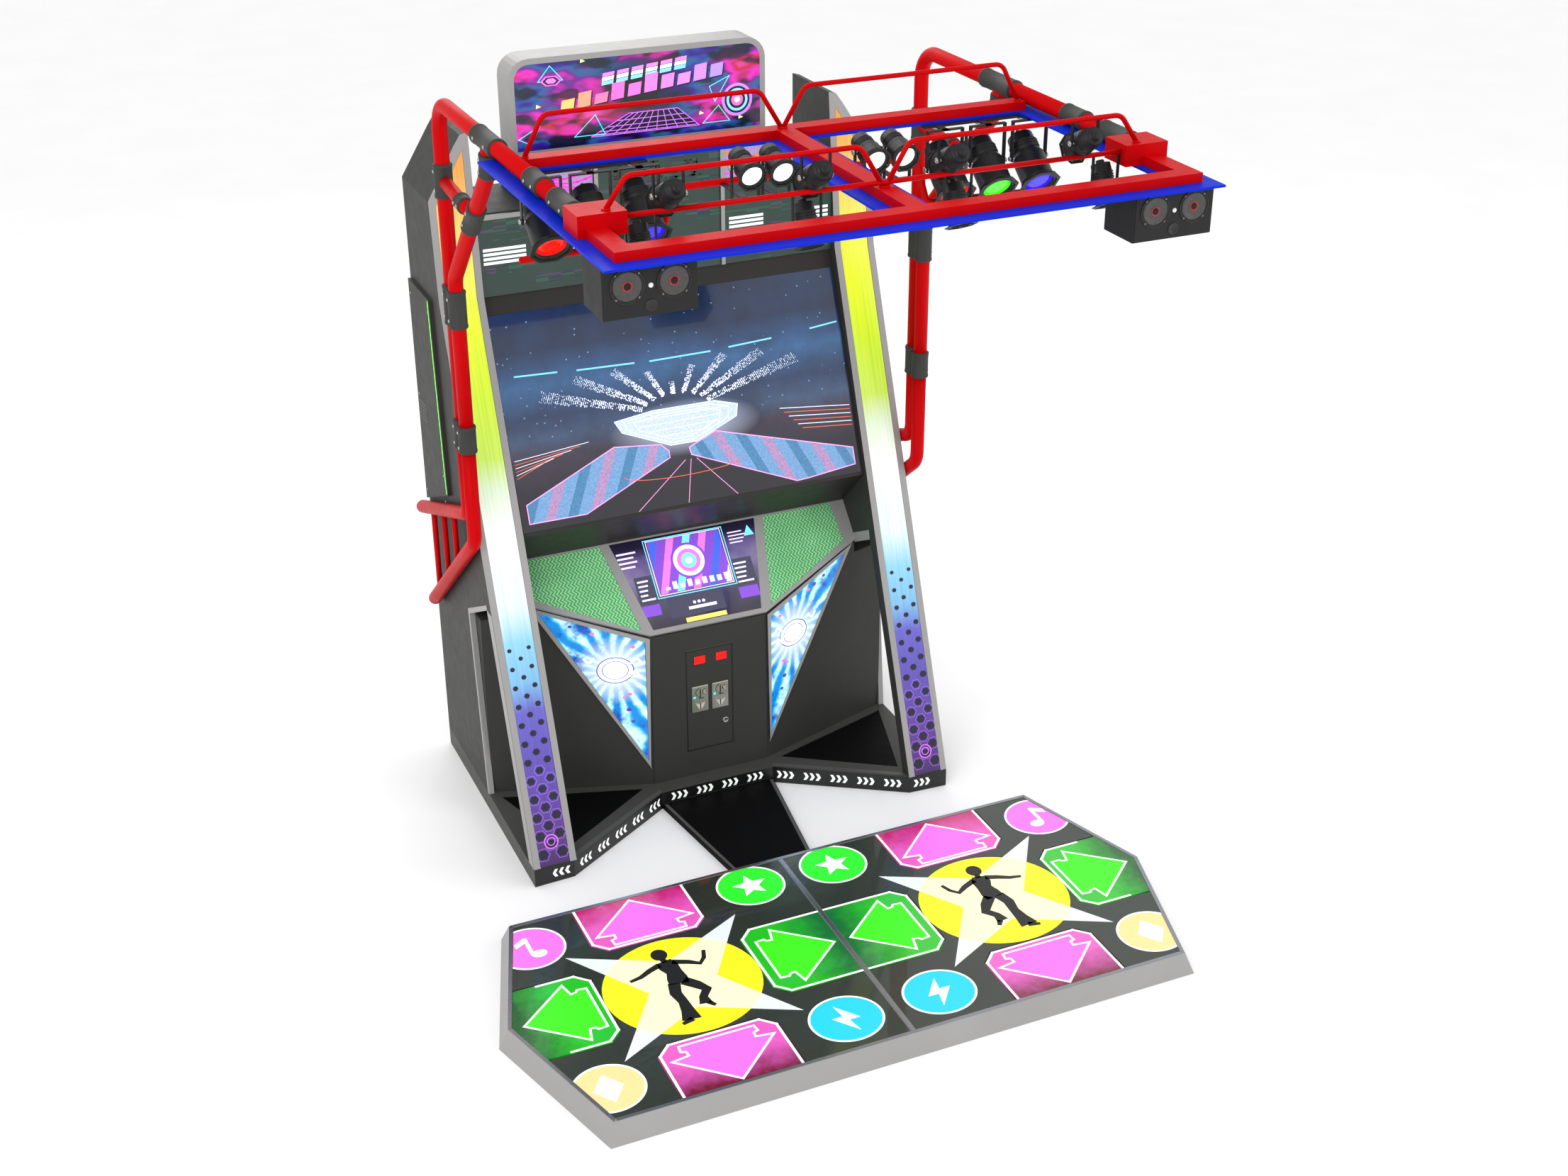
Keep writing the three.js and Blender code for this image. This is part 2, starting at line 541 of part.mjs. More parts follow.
function deckTray() {
  const skirt = frustum(ordered(inset(deckTop, -deck.flare)), ordered(deckTop), 0, deck.height);
  const bed = deck.height - deck.sheet;
  const well = deck.height - pad.thick - pad.travel - 0.5;
  const hollow = alongZ(ordered(inset(deckTop, 25)), -1, deck.floorZ);
  const field = alongZ(sheetOutline, bed, deck.height + 5);
  const fields = [field.intersect(halfField(0)), mirrorX(field.intersect(halfField(0)))];
  const wells = Object.values(tileOutlines()).map((outline) => tileShape(outline, well, bed + 1, 1));
  return cut(skirt, hollow, ...fields, ...wells, ...wells.map(mirrorX));
}

function deckSheet() {
  const z0 = deck.height - deck.sheet + gap;
  const z1 = deck.height - 0.8;
  const field = alongZ(ordered(inset(sheetOutline, gap)), z0, z1).intersect(halfField(gap));
  const holes = Object.values(tileOutlines()).map((outline) => tileShape(outline, z0 - 1, z1 + 1, 5));
  return cut(field, ...holes);
}

function arrowTiles() {
  const bottom = deck.height - pad.thick;
  for (const [side, outline] of Object.entries(tileOutlines())) {
    const tile = tileShape(outline, bottom, deck.height - 0.4, 0);
    const paint = side === 'back' || side === 'front' ? 'tilePink' : 'tileGreen';
    pair(`arrow_tile_${side}`, tile, paint);
  }
}

function floorDuct() {
  const back = plinthFront[0][1] - gap;
  const front = deck.backY + deck.flare + gap;
  return alongZ(symmetric([[duct.backHalf - 13.5, back], [duct.frontHalf, front]]), 0, duct.height);
}

// ---------------------------------------------------------------- side tube frames
const at = (y, z) => [tubeX, y, z];

function sleeve([y0, z0, y1, z1], radius = tube.sleeve) {
  return rod(at(y0, z0), at(y1, z1), radius);
}

function tubeFrame() {
  const low = tube.sleeveLowZ;
  const braceLow = brace.sum - tube.frontY;
  const rear = bentTube([at(tube.rearY, low), at(tube.rearY, tube.topZ), at(cornerBox.y1 + gap, tube.topZ)],
    tube.radius, 90);
  const front = bentTube([at(tube.frontY, low), at(tube.frontY, braceLow),
    at(brace.endY, brace.sum - brace.endY), at(brace.railY, tube.topZ)], tube.radius, 60);
  const bar = rod(at(stub.y0, stub.z0), at(stub.y1, stub.z1), tube.radius * 0.86);
  const alongPoles = poleSleeves.flatMap(([z0, z1]) => [
    [tube.rearY, z0, tube.rearY, z1], [tube.frontY, z0, tube.frontY, z1 - 6]]);
  const alongRail = railSleeves.map(([y0, y1]) => [y0, tube.topZ, y1, tube.topZ]);
  const crown = [tube.rearY, crownSleeve[0], tube.rearY, crownSleeve[1]];
  const sleeves = [...alongPoles, crown, ...braceSleeves, ...alongRail].map((ends) => sleeve(ends));
  sleeves.push(sleeve([200, 2178, 150, 2174], tube.sleeve - 3));
  return join(rear, front, bar, ...sleeves);
}

function sideGuard() {
  const top = tube.sleeveLowZ - gap;
  const lowEnd = at(...guard.lowEnd);
  const highEnd = at(...guard.highEnd);
  const lower = bentTube([at(tube.frontY, top), at(tube.frontY, guard.lowBend), lowEnd], tube.radius, 70);
  const upper = bentTube([at(tube.rearY, top), at(tube.rearY, guard.highBend), highEnd], tube.radius, 60);
  const caps = [lowEnd, highEnd].map((end) => {
    const ball = new THREE.SphereGeometry(tube.radius, 10, 6);
    ball.translate(...end);
    return toSolid(ball);
  });
  // The height of a guard rail's middle line at y, from its bend to its end.
  const railZ = (y, y0, z0, [y1, z1]) => z0 + (y - y0) * (z1 - z0) / (y1 - y0);
  const bars = guard.bars.map((y) => rod(at(y, railZ(y, tube.rearY, guard.highBend, guard.highEnd) - 6),
    at(y, railZ(y, tube.frontY, guard.lowBend, guard.lowEnd) + 6), guard.barRadius, 6));
  return join(lower, upper, ...caps, ...bars);
}

// ---------------------------------------------------------------- overhead truss
function trussFrame() {
  const { plateTopZ, topZ, frontY, beam, outer, rearY } = truss;
  const z0 = plateTopZ + gap;
  const front = block(-outer, outer, frontY, frontY + beam, z0, topZ);
  const side = block(outer - beam, outer, frontY + 1, cornerBox.y0 + 1, z0, topZ);
  const corner = block(cornerBox.x0, cornerBox.x1, cornerBox.y0, cornerBox.y1, z0, cornerBox.topZ);
  const centre = block(-beam / 2, beam / 2, frontY + 1, rearY + 1, z0, topZ);
  const rear = block(-tubeX + tube.sleeve + 1, tubeX - tube.sleeve - 1, rearY, rearY + beam, z0, topZ);
  return join(front, side, mirrorX(side), corner, mirrorX(corner), centre, rear);
}

function fasciaBoard() {
  const { plateHalf, plateFrontY, plateBackY, plateLowZ, plateTopZ } = truss;
  const board = block(-plateHalf, plateHalf, plateFrontY, plateBackY, plateLowZ, plateTopZ);
  const window = block(68, 700, -1000, -318, plateLowZ - 1, plateTopZ + 1);
  return cut(board, window, mirrorX(window));
}

// A thin hoop standing on the truss, its leaning legs cut level where they stand.
function hoopArch(y, outerFootZ) {
  const below = 12;
  const innerFootZ = truss.topZ + gap;
  const arch = bentTube([[hoop.footX, y, innerFootZ - below], [hoop.inX, y, hoop.z], [hoop.outX, y, hoop.z],
    [hoop.endX, y, outerFootZ - below]], hoop.radius, hoop.bend, 6);
  return cut(arch, block(-100, 400, y - 50, y + 50, 2300, innerFootZ),
    block(400, 900, y - 50, y + 50, 2300, outerFootZ));
}

// ---------------------------------------------------------------- lamps
function lathe(profile, sides) {
  const points = profile.map(([radius, height]) => new THREE.Vector2(radius, height));
  const geometry = new THREE.LatheGeometry(points, sides);
  const solid = toSolid(geometry);
  return solid.volume() > 0 ? solid : toSolid(flipped(geometry));
}

// A can lamp shining along -Y, with its tilt pins at the origin.
function canLamp(profile, radius, reach, sides) {
  const gel = new THREE.CylinderGeometry(radius * 1.3, radius * 1.3, 4, 8);
  gel.rotateY(Math.PI / 8);
  gel.translate(0, reach, 0);
  const pins = rod([-radius - 4, 0, 0], [radius + 4, 0, 0], radius * 0.14, 6);
  return join(lathe(profile, sides), toSolid(gel), pins);
}

function stageCan() {
  const { radius, reach, tail } = bigLamp;
  const profile = [[0, -tail], [radius * 0.42, -tail], [radius * 0.72, -tail + radius * 0.22],
    [radius * 0.8, -tail * 0.55], [radius, -tail * 0.4], [radius, reach - 12], [radius * 1.12, reach - 12],
    [radius * 1.12, reach + 1], [0, reach + 1]];
  const lensWell = rod([0, reach - 6, 0], [0, reach + 20, 0], radius * 0.88, 12);
  return cut(canLamp(profile, radius, reach, 12), lensWell).rotate([180, 0, 0]);
}

function smallCan() {
  const { radius, reach, tail } = smallLamp;
  const profile = [[0, -tail], [radius * 0.62, -tail], [radius, -tail * 0.4], [radius, reach], [0, reach]];
  return canLamp(profile, radius, reach, 8).rotate([180, 0, 0]);
}

function yoke(x, y, z, innerHalf, height, bar = 4, width = 14) {
  const legs = [-1, 1].map((side) => block(x + side * (innerHalf + bar / 2) - bar / 2,
    x + side * (innerHalf + bar / 2) + bar / 2, y - width / 2, y + width / 2, Math.min(z - 8, z + height),
    Math.max(z + 8, z + height)));
  const cross = block(x - innerHalf - bar, x + innerHalf + bar, y - width / 2, y + width / 2,
    z + height - (height > 0 ? bar : 0), z + height + (height > 0 ? 0 : bar));
  return join(...legs, cross);
}

function bigLampYokes() {
  const { radius, rows, pivotY, pivotZ } = bigLamp;
  const top = truss.plateLowZ - gap;
  const { y: railY, deep, thick, overhang } = lampRack;
  const rail = block(rows[0] - overhang, rows[2] + overhang, railY, railY + deep, top - thick, top);
  const yokes = rows.map((x) => {
    const strap = block(x - 10, x + 10, pivotY - 7, railY + 1, top - 4, top);
    return join(yoke(x, pivotY, pivotZ, radius + 5, top - pivotZ), strap);
  });
  return join(rail, ...yokes);
}

function smallLampAt(x, y, z, tilt) {
  return smallCan().rotate([tilt, 0, 0]).translate([x, y, z]);
}

// Hoops over the truss, each with the small lamps that hang from it.
function frontHoopRail() {
  const y = hoop.frontY;
  const one = hoopArch(y, cornerBox.topZ + gap);
  const rail = rod([-cornerBox.x0 + gap, y, hoop.railZ], [cornerBox.x0 - gap, y, hoop.railZ], hoop.radius, 6);
  const pieces = [one, mirrorX(one), rail];
  const fork = smallLamp.radius + 3;
  for (const [spots, spotY, width] of [[highSpots, y, 10], [lowSpots, y + 4, 8]]) {
    for (const x of spots.xs) {
      const lamp = join(smallLampAt(x, spotY, spots.z, spots.tilt),
        yoke(x, spotY, spots.z, fork, spots.yoke, 4, width));
      pieces.push(lamp, mirrorX(lamp));
    }
  }
  return join(...pieces);
}

function rearHoopRail() {
  const one = hoopArch(hoop.rearY, truss.topZ + gap);
  return join(one, mirrorX(one));
}

function rearLampBar() {
  const { y, radius, raisedZ, raisedX, lowX, lowZ, endX, endZ, hanger: [near, far], bend } = lampBar;
  const route = [[0, y, raisedZ], [raisedX, y, raisedZ], [lowX, y, lowZ], [endX, y, endZ]];
  const half = bentTube(route, radius, bend, 6);
  const hanger = block(near, far, y - 4, y + 4, raisedZ - 4, truss.plateLowZ - gap);
  const pieces = [half, mirrorX(half), hanger, mirrorX(hanger)];
  for (const x of rearSpots.xs) {
    const strap = block(x - 9, x + 9, rearSpots.y - 7, y, raisedZ - 4, raisedZ);
    const fork = yoke(x, rearSpots.y, rearSpots.z, smallLamp.radius + 3, raisedZ - rearSpots.z - 4, 4, 12);
    const stand = join(smallLampAt(x, rearSpots.y, rearSpots.z, rearSpots.tilt), fork, strap);
    pieces.push(stand, mirrorX(stand));
  }
  return join(...pieces);
}

function speakerBox() {
  const { x0, x1, y0, y1, z0 } = speaker;
  const cabinetSolid = block(x0, x1, y0, y1, z0, truss.plateLowZ - gap);
  const middle = (x0 + x1) / 2;
  const centreZ = (z0 + truss.plateLowZ) / 2 + 14;
  const wells = [-56, 56].map((dx) => rod([middle + dx, y0 - 1, centreZ],
    [middle + dx, y0 + 8, centreZ], 38, 20));
  const port = rod([middle, y0 - 1, z0 + 26], [middle, y0 + 40, z0 + 26], 13, 16);
  return cut(cabinetSolid, ...wells, port);
}

// ---------------------------------------------------------------- assembly
part('base_plinth', basePlinth(), 'black');
pair('side_frame', sideFrame(), 'charcoal');
pair('light_strip', lightStrip(), 'stripLight');
part('cabinet_core', cabinetCore(), 'charcoal');
part('rear_door', rearDoorPanel(), 'charcoal');
part('screen_surround', screenSurround(), 'black');
part('main_screen', mainScreen(), 'display');
part('poster_panel', posterPanel(), 'posterGreen');
part('marquee_box', marqueeBox(), 'steelGrey');
part('marquee_face', marqueeFace(), 'marqueeArt');
part('control_fascia', controlFascia(), 'steelGrey');
part('touch_monitor', touchMonitor(), 'display');
pair('grille', grille(), 'grilleGreen');
pair('facet_light', facetLight(), 'facetBlue');
part('coin_cabinet', coinCabinet(), 'charcoal');
part('coin_door', coinDoorPanel(), 'charcoal');
part('coin_mech_right', coinMechBody(), 'chrome');
part('coin_mech_left', coinMechBody().translate([-2 * coinMech.x, 0, 0]), 'chrome');
part('reject_button_right', rejectPush(), 'red');
part('reject_button_left', rejectPush().translate([-2 * coinMech.x, 0, 0]), 'red');
part('door_lock', lockCylinder(), 'chrome');
part('cash_box', cashBox(), 'case');
part('game_computer', cased(computerSize, 4), 'case');
part('power_supply', cased(supplySize, 10), 'case');

part('deck_tray', deckTray(), 'steelGrey');
pair('deck_sheet', deckSheet(), 'sheetDark');
arrowTiles();
part('floor_duct', floorDuct(), 'black');

pair('tube_frame', tubeFrame(), 'red');
pair('side_guard', sideGuard(), 'red');
part('truss_frame', trussFrame(), 'red');
part('fascia_plate', fasciaBoard(), 'blue');
part('front_hoop_rail', frontHoopRail(), 'red');
part('rear_hoop_rail', rearHoopRail(), 'red');
part('rear_lamp_bar', rearLampBar(), 'red');
pair('lamp_yokes', bigLampYokes(), 'lampBlack');
pair('speaker', speakerBox(), 'lampBlack');

const lampNames = ['inner', 'middle', 'outer'];
const can = stageCan();
for (const [side, sign] of [['left', -1], ['right', 1]]) {
  bigLamp.rows.forEach((x, i) => {
    const place = [sign * x, bigLamp.pivotY, bigLamp.pivotZ];
    part(`stage_lamp_${side}_${lampNames[i]}`, can, 'lampBlack', place, THREE.MathUtils.degToRad(bigLamp.tilt));
  });
}

export default machine;
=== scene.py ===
# Looks of the dance rhythm machine: materials, printed art and fine parts around the CAD frame.
# Sizes are millimetres from the front foot of the side pillars unless a name says otherwise.
import math
import random

import bmesh
import bpy
from mathutils import Matrix, Vector


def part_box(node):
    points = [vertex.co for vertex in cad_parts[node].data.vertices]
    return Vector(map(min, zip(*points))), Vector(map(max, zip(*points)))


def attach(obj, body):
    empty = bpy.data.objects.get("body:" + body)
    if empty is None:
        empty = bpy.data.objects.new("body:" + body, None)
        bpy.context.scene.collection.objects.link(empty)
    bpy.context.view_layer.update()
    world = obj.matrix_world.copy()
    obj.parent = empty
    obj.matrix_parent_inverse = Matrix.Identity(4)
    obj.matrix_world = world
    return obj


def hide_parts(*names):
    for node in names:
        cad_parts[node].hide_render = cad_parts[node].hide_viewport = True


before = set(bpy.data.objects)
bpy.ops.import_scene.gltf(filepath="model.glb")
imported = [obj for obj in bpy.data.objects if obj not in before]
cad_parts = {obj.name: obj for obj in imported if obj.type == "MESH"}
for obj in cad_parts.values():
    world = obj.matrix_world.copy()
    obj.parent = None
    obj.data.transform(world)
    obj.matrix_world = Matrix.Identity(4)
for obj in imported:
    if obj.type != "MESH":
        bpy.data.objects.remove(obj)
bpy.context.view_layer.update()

MM = 0.001
FOOT_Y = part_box("side_frame_left")[0].y      # the pillar foot, in the row frame
SIDES = {"left": -1, "right": 1}
UP = Vector((0, 0, 1))
RIGHT = Vector((1, 0, 0))
BACK = Vector((0, 1, 0))
AHEAD = Vector((0, -1, 0))       # towards the player


def point(x, y, z):
    """A place in metres in the row frame, from millimetres from the pillar foot."""
    return Vector((x * MM, y * MM + FOOT_Y, z * MM))


# ------------------------------------------------------------------ camera, light and floor
CAMERA_PLACE = (-2.2232, -5.1523, 3.8417)
CAMERA_TURN = (62.9, 0.07, -24.05)           # degrees about X, Y and Z
LENS_MM = 47.78
SENSOR_MM = 36


def make_camera():
    data = bpy.data.cameras.new("camera")
    data.sensor_width = SENSOR_MM
    data.lens = LENS_MM
    data.clip_end = 100
    camera = bpy.data.objects.new("camera", data)
    camera.location = CAMERA_PLACE
    camera.rotation_euler = [math.radians(angle) for angle in CAMERA_TURN]
    bpy.context.collection.objects.link(camera)
    bpy.context.scene.camera = camera


def area_light(name, place, aim, size, power):
    data = bpy.data.lights.new(name, "AREA")
    data.size = size
    data.energy = power
    light = bpy.data.objects.new(name, data)
    light.location = place
    light.rotation_euler = (Vector(aim) - Vector(place)).to_track_quat("-Z", "Y").to_euler()
    bpy.context.collection.objects.link(light)


def make_studio():
    world = bpy.data.worlds.new("studio")
    world.use_nodes = True
    sky = world.node_tree.nodes["Background"]
    sky.inputs["Color"].default_value = (1, 1, 1, 1)
    sky.inputs["Strength"].default_value = 0.98
    bpy.context.scene.world = world
    bpy.context.scene.view_settings.view_transform = "Standard"
    area_light("key", (-4.5, -4.5, 5.5), (0, 0, 1), 4.0, 170)
    area_light("fill", (5.0, -3.5, 3.5), (0, 0, 1), 4.0, 60)
    area_light("back", (0.5, 5.0, 4.5), (0, 0.5, 1.2), 3.0, 70)


# ------------------------------------------------------------------ material helpers
def linear(red, green, blue):
    """A screen colour of 0 to 255 as a linear colour."""
    parts = [c / 255 for c in (red, green, blue)]
    return [c / 12.92 if c <= 0.04045 else ((c + 0.055) / 1.055) ** 2.4 for c in parts] + [1.0]


def node(tree, kind, inputs=(), **settings):
    made = tree.nodes.new("ShaderNode" + kind)
    for key, value in settings.items():
        setattr(made, key, value)
    for key, value in dict(inputs).items():
        target = made.inputs[key]
        if isinstance(value, bpy.types.NodeSocket):
            tree.links.new(value, target)
        else:
            target.default_value = value
    return made


def maths(tree, operation, first, second=0.0, third=0.0):
    return node(tree, "Math", {0: first, 1: second, 2: third}, operation=operation).outputs[0]


def ramp(tree, factor, stops, interpolation="LINEAR"):
    """A colour ramp through (place, colour) stops."""
    made = node(tree, "ValToRGB", {"Fac": factor})
    band = made.color_ramp
    band.interpolation = interpolation
    while len(band.elements) < len(stops):
        band.elements.new(1.0)
    for element, (place, colour) in zip(band.elements, stops):
        element.position = place
        element.color = colour if len(colour) == 4 else linear(*colour)
    return made.outputs["Color"]


def mix(tree, factor, first, second, blend="MIX"):
    made = node(tree, "Mix", data_type="RGBA", blend_type=blend)
    pairs = ((made.inputs["Factor"], factor), (made.inputs[6], first), (made.inputs[7], second))
    for target, value in pairs:
        if isinstance(value, bpy.types.NodeSocket):
            tree.links.new(value, target)
        else:
            target.default_value = value
    return made.outputs[2]


def start(name):
    """A new material: its tree, its shader and the object coordinates."""
    made = bpy.data.materials.new(name)
    made.use_nodes = True
    tree = made.node_tree
    shader = tree.nodes["Principled BSDF"]
    place = node(tree, "TexCoord").outputs["Object"]
    return made, tree, shader, place


def axes(tree, place):
    split = node(tree, "SeparateXYZ", {0: place})
    return split.outputs[0], split.outputs[1], split.outputs[2]


def noise(tree, place, scale, detail=3.0, roughness=0.55):
    return node(tree, "TexNoise", {"Vector": place, "Scale": scale, "Detail": detail,
                                   "Roughness": roughness}).outputs["Fac"]


def stretched(tree, place, scale, turn=(0, 0, 0)):
    """The coordinates scaled differently along each axis, after a turn in radians."""
    return node(tree, "Mapping", {"Vector": place, "Rotation": turn, "Scale": scale}).outputs[0]


def times(tree, first, second):
    return maths(tree, "MULTIPLY", first, second)


def reach_of(tree, across, rise):
    """How far a place lies from the middle, from its two offsets."""
    return maths(tree, "SQRT", maths(tree, "ADD", times(tree, across, across), times(tree, rise, rise)))


def uneven_gloss(tree, shader, factor, low, high):
    gloss = node(tree, "MapRange", {"Value": factor, "To Min": low, "To Max": high})
    tree.links.new(gloss.outputs[0], shader.inputs["Roughness"])


def bump(tree, shader, height, strength, distance):
    made = node(tree, "Bump", {"Height": height, "Strength": strength, "Distance": distance})
    tree.links.new(made.outputs["Normal"], shader.inputs["Normal"])


def varied(tree, colour, factor, amount):
    """The colour, a little darker and lighter from place to place."""
    dark = [c * (1 - amount) for c in colour[:3]] + [1.0]
    light = [min(1.0, c * (1 + amount)) for c in colour[:3]] + [1.0]
    return ramp(tree, factor, [(0.3, dark), (0.7, light)])


# ------------------------------------------------------------------ plain finishes
def paint(name, colour, rough=0.4, metal=0.0, coat=0.0, grain=900, depth=0.25, spread=0.08, shine=0.25):
    """A sprayed finish: orange-peel bump, uneven gloss and a slight change of tone."""
    made, tree, shader, place = start(name)
    cloud = noise(tree, place, 3.5, 4)
    fine = noise(tree, place, grain, 2)
    tone = maths(tree, "MULTIPLY_ADD", fine, 0.35, times(tree, cloud, 0.65))
    tree.links.new(varied(tree, linear(*colour), tone, spread), shader.inputs["Base Color"])
    uneven_gloss(tree, shader, noise(tree, place, 28, 5), rough * 0.8, min(1, rough * 1.2))
    shader.inputs["Metallic"].default_value = metal
    shader.inputs["Specular IOR Level"].default_value = shine
    shader.inputs["Coat Weight"].default_value = coat
    shader.inputs["Coat Roughness"].default_value = 0.15
    bump(tree, shader, fine, depth, 0.0004)
    return made


def brushed(name, colour, rough=0.32, stretch=(4, 4, 400)):
    """Bare metal with fine lines along one direction."""
    made, tree, shader, place = start(name)
    grain = noise(tree, stretched(tree, place, stretch), 6, 6, 0.7)
    tree.links.new(varied(tree, linear(*colour), grain, 0.18), shader.inputs["Base Color"])
    uneven_gloss(tree, shader, grain, rough * 0.7, rough * 1.3)
    shader.inputs["Metallic"].default_value = 0.9
    bump(tree, shader, grain, 0.15, 0.0003)
    return made


def ink(name, colour, glow=0.0, rough=0.35, spread=0.06):
    """Printed or lit colour with a faint print grain."""
    made, tree, shader, place = start(name)
    grain = noise(tree, place, 260, 3)
    tone = varied(tree, linear(*colour), grain, spread)
    tree.links.new(tone, shader.inputs["Base Color"])
    shader.inputs["Roughness"].default_value = rough
    if glow:
        tree.links.new(tone, shader.inputs["Emission Color"])
        shader.inputs["Emission Strength"].default_value = glow
    bump(tree, shader, grain, 0.05, 0.0002)
    return made


def lit(tree, shader, colour, glow, rough=0.3, base=0.35):
    """Puts an art colour on a shader, partly lit from within."""
    dim = mix(tree, 1.0, colour, (base, base, base, 1), "MULTIPLY")
    tree.links.new(dim, shader.inputs["Base Color"])
    tree.links.new(colour, shader.inputs["Emission Color"])
    shader.inputs["Emission Strength"].default_value = glow
    shader.inputs["Roughness"].default_value = rough


# ------------------------------------------------------------------ art materials
def strip_art():
    """The pillar light: orange and yellow above, white in the middle, violet at the foot."""
    made, tree, shader, place = start("pillar_light")
    z = axes(tree, place)[2]
    stops = [(0.0, (62, 22, 96)), (0.045, (92, 40, 140)), (0.12, (94, 66, 176)), (0.215, (104, 96, 204)),
             (0.255, (130, 190, 240)), (0.31, (150, 215, 255)), (0.36, (238, 250, 255)),
             (0.47, (255, 255, 255)), (0.52, (228, 244, 214)), (0.56, (205, 236, 90)), (0.64, (214, 242, 44)),
             (0.73, (240, 250, 40)), (0.80, (248, 242, 90)), (0.87, (255, 214, 120)), (0.94, (252, 176, 84)),
             (1.0, (246, 150, 60))]
    wave = noise(tree, stretched(tree, place, (40, 8, 3)), 1.0, 3)
    height = maths(tree, "MULTIPLY_ADD", maths(tree, "SUBTRACT", z, 0.065), 1 / 2.17,
                   maths(tree, "MULTIPLY_ADD", wave, 0.02, -0.01))
    colour = ramp(tree, height, stops)
    streak = ramp(tree, noise(tree, stretched(tree, place, (260, 4, 1.2)),
                              1.0, 2), [(0.35, (225, 240, 225)), (0.6, (255, 255, 255))])
    lit(tree, shader, mix(tree, 0.8, colour, streak, "MULTIPLY"), 0.75)
    shader.inputs["Coat Weight"].default_value = 0.3
    return made


def screen_art():
    """The main screen's background: a night sky in soft bands, with stars and a pale glow in the middle."""
    made, tree, shader, place = start("screen_picture")
    x, _, z = axes(tree, place)
    height = node(tree, "MapRange", {"Value": z, "From Min": 1.031, "From Max": 1.671}).outputs[0]
    sky = ramp(tree, height, [(0.0, (22, 16, 30)), (0.18, (30, 24, 42)), (0.34, (66, 56, 78)),
                              (0.42, (64, 90, 126)), (0.52, (34, 62, 104)), (0.66, (50, 104, 156)),
                              (0.72, (38, 82, 132)), (0.82, (20, 46, 84)), (1.0, (24, 50, 88))])
    cloud = noise(tree, place, 5.5, 6, 0.65)
    shade = ramp(tree, cloud, [(0.3, (120, 120, 140)), (0.7, (255, 255, 255))])
    haze = mix(tree, 0.8, sky, shade, "MULTIPLY")
    star = node(tree, "TexVoronoi", {"Vector": place, "Scale": 34.0}, feature="F1").outputs["Distance"]
    spark = maths(tree, "LESS_THAN", star, 0.09)
    upper = maths(tree, "GREATER_THAN", height, 0.40)
    dotted = mix(tree, times(tree, spark, upper), haze, linear(120, 150, 200))
    across = maths(tree, "DIVIDE", x, 0.26)
    rise = maths(tree, "DIVIDE", maths(tree, "SUBTRACT", height, 0.37), 0.13)
    reach = reach_of(tree, across, rise)
    halo = ramp(tree, reach, [(0.0, (1, 1, 1, 1)), (0.5, (0.45, 0.45, 0.45, 1)), (1.0, (0, 0, 0, 1))])
    glow = mix(tree, halo, dotted, linear(206, 218, 246))
    lit(tree, shader, glow, 0.75, 0.12)
    shader.inputs["Coat Weight"].default_value = 0.6
    return made


def monitor_art():
    """The touch monitor: violet haze, darker at the top and the foot."""
    made, tree, shader, place = start("monitor_picture")
    z = axes(tree, place)[2]
    height = node(tree, "MapRange", {"Value": z, "From Min": 0.645, "From Max": 0.872}).outputs[0]
    sky = ramp(tree, height, [(0.0, (44, 42, 58)), (0.3, (84, 80, 104)), (0.55, (140, 128, 168)),
                              (0.75, (104, 88, 148)), (0.9, (34, 26, 60)), (1.0, (16, 12, 34))])
    blur = ramp(tree, noise(tree, place, 14, 5), [(0.3, (150, 140, 190)), (0.7, (255, 250, 255))])
    lit(tree, shader, mix(tree, 0.7, sky, blur, "MULTIPLY"), 0.8, 0.12)
    shader.inputs["Coat Weight"].default_value = 0.6
    return made


def poster_art():
    """The upper panel: dark green print with broken horizontal noise."""
    made, tree, shader, place = start("poster_print")
    flat = stretched(tree, place, (24, 1, 170))
    cells = node(tree, "TexWhiteNoise", {"Vector": node(
        tree, "VectorMath", {0: flat}, operation="FLOOR").outputs[0]}).outputs["Value"]
    patch = noise(tree, stretched(tree, place, (3, 1, 22)), 1.0, 2)
    spots = times(tree, maths(tree, "GREATER_THAN", cells, 0.62),
                  maths(tree, "GREATER_THAN", patch, 0.55))
    base = varied(tree, linear(40, 64, 56), noise(tree, place, 7, 5), 0.16)
    speck = ramp(tree, cells, [(0.0, (34, 44, 72)), (0.7, (44, 96, 74)), (0.9, (92, 60, 104))], "CONSTANT")
    lit(tree, shader, mix(tree, times(tree, spots, 0.8), base, speck), 0.35, 0.3, 0.6)
    return made


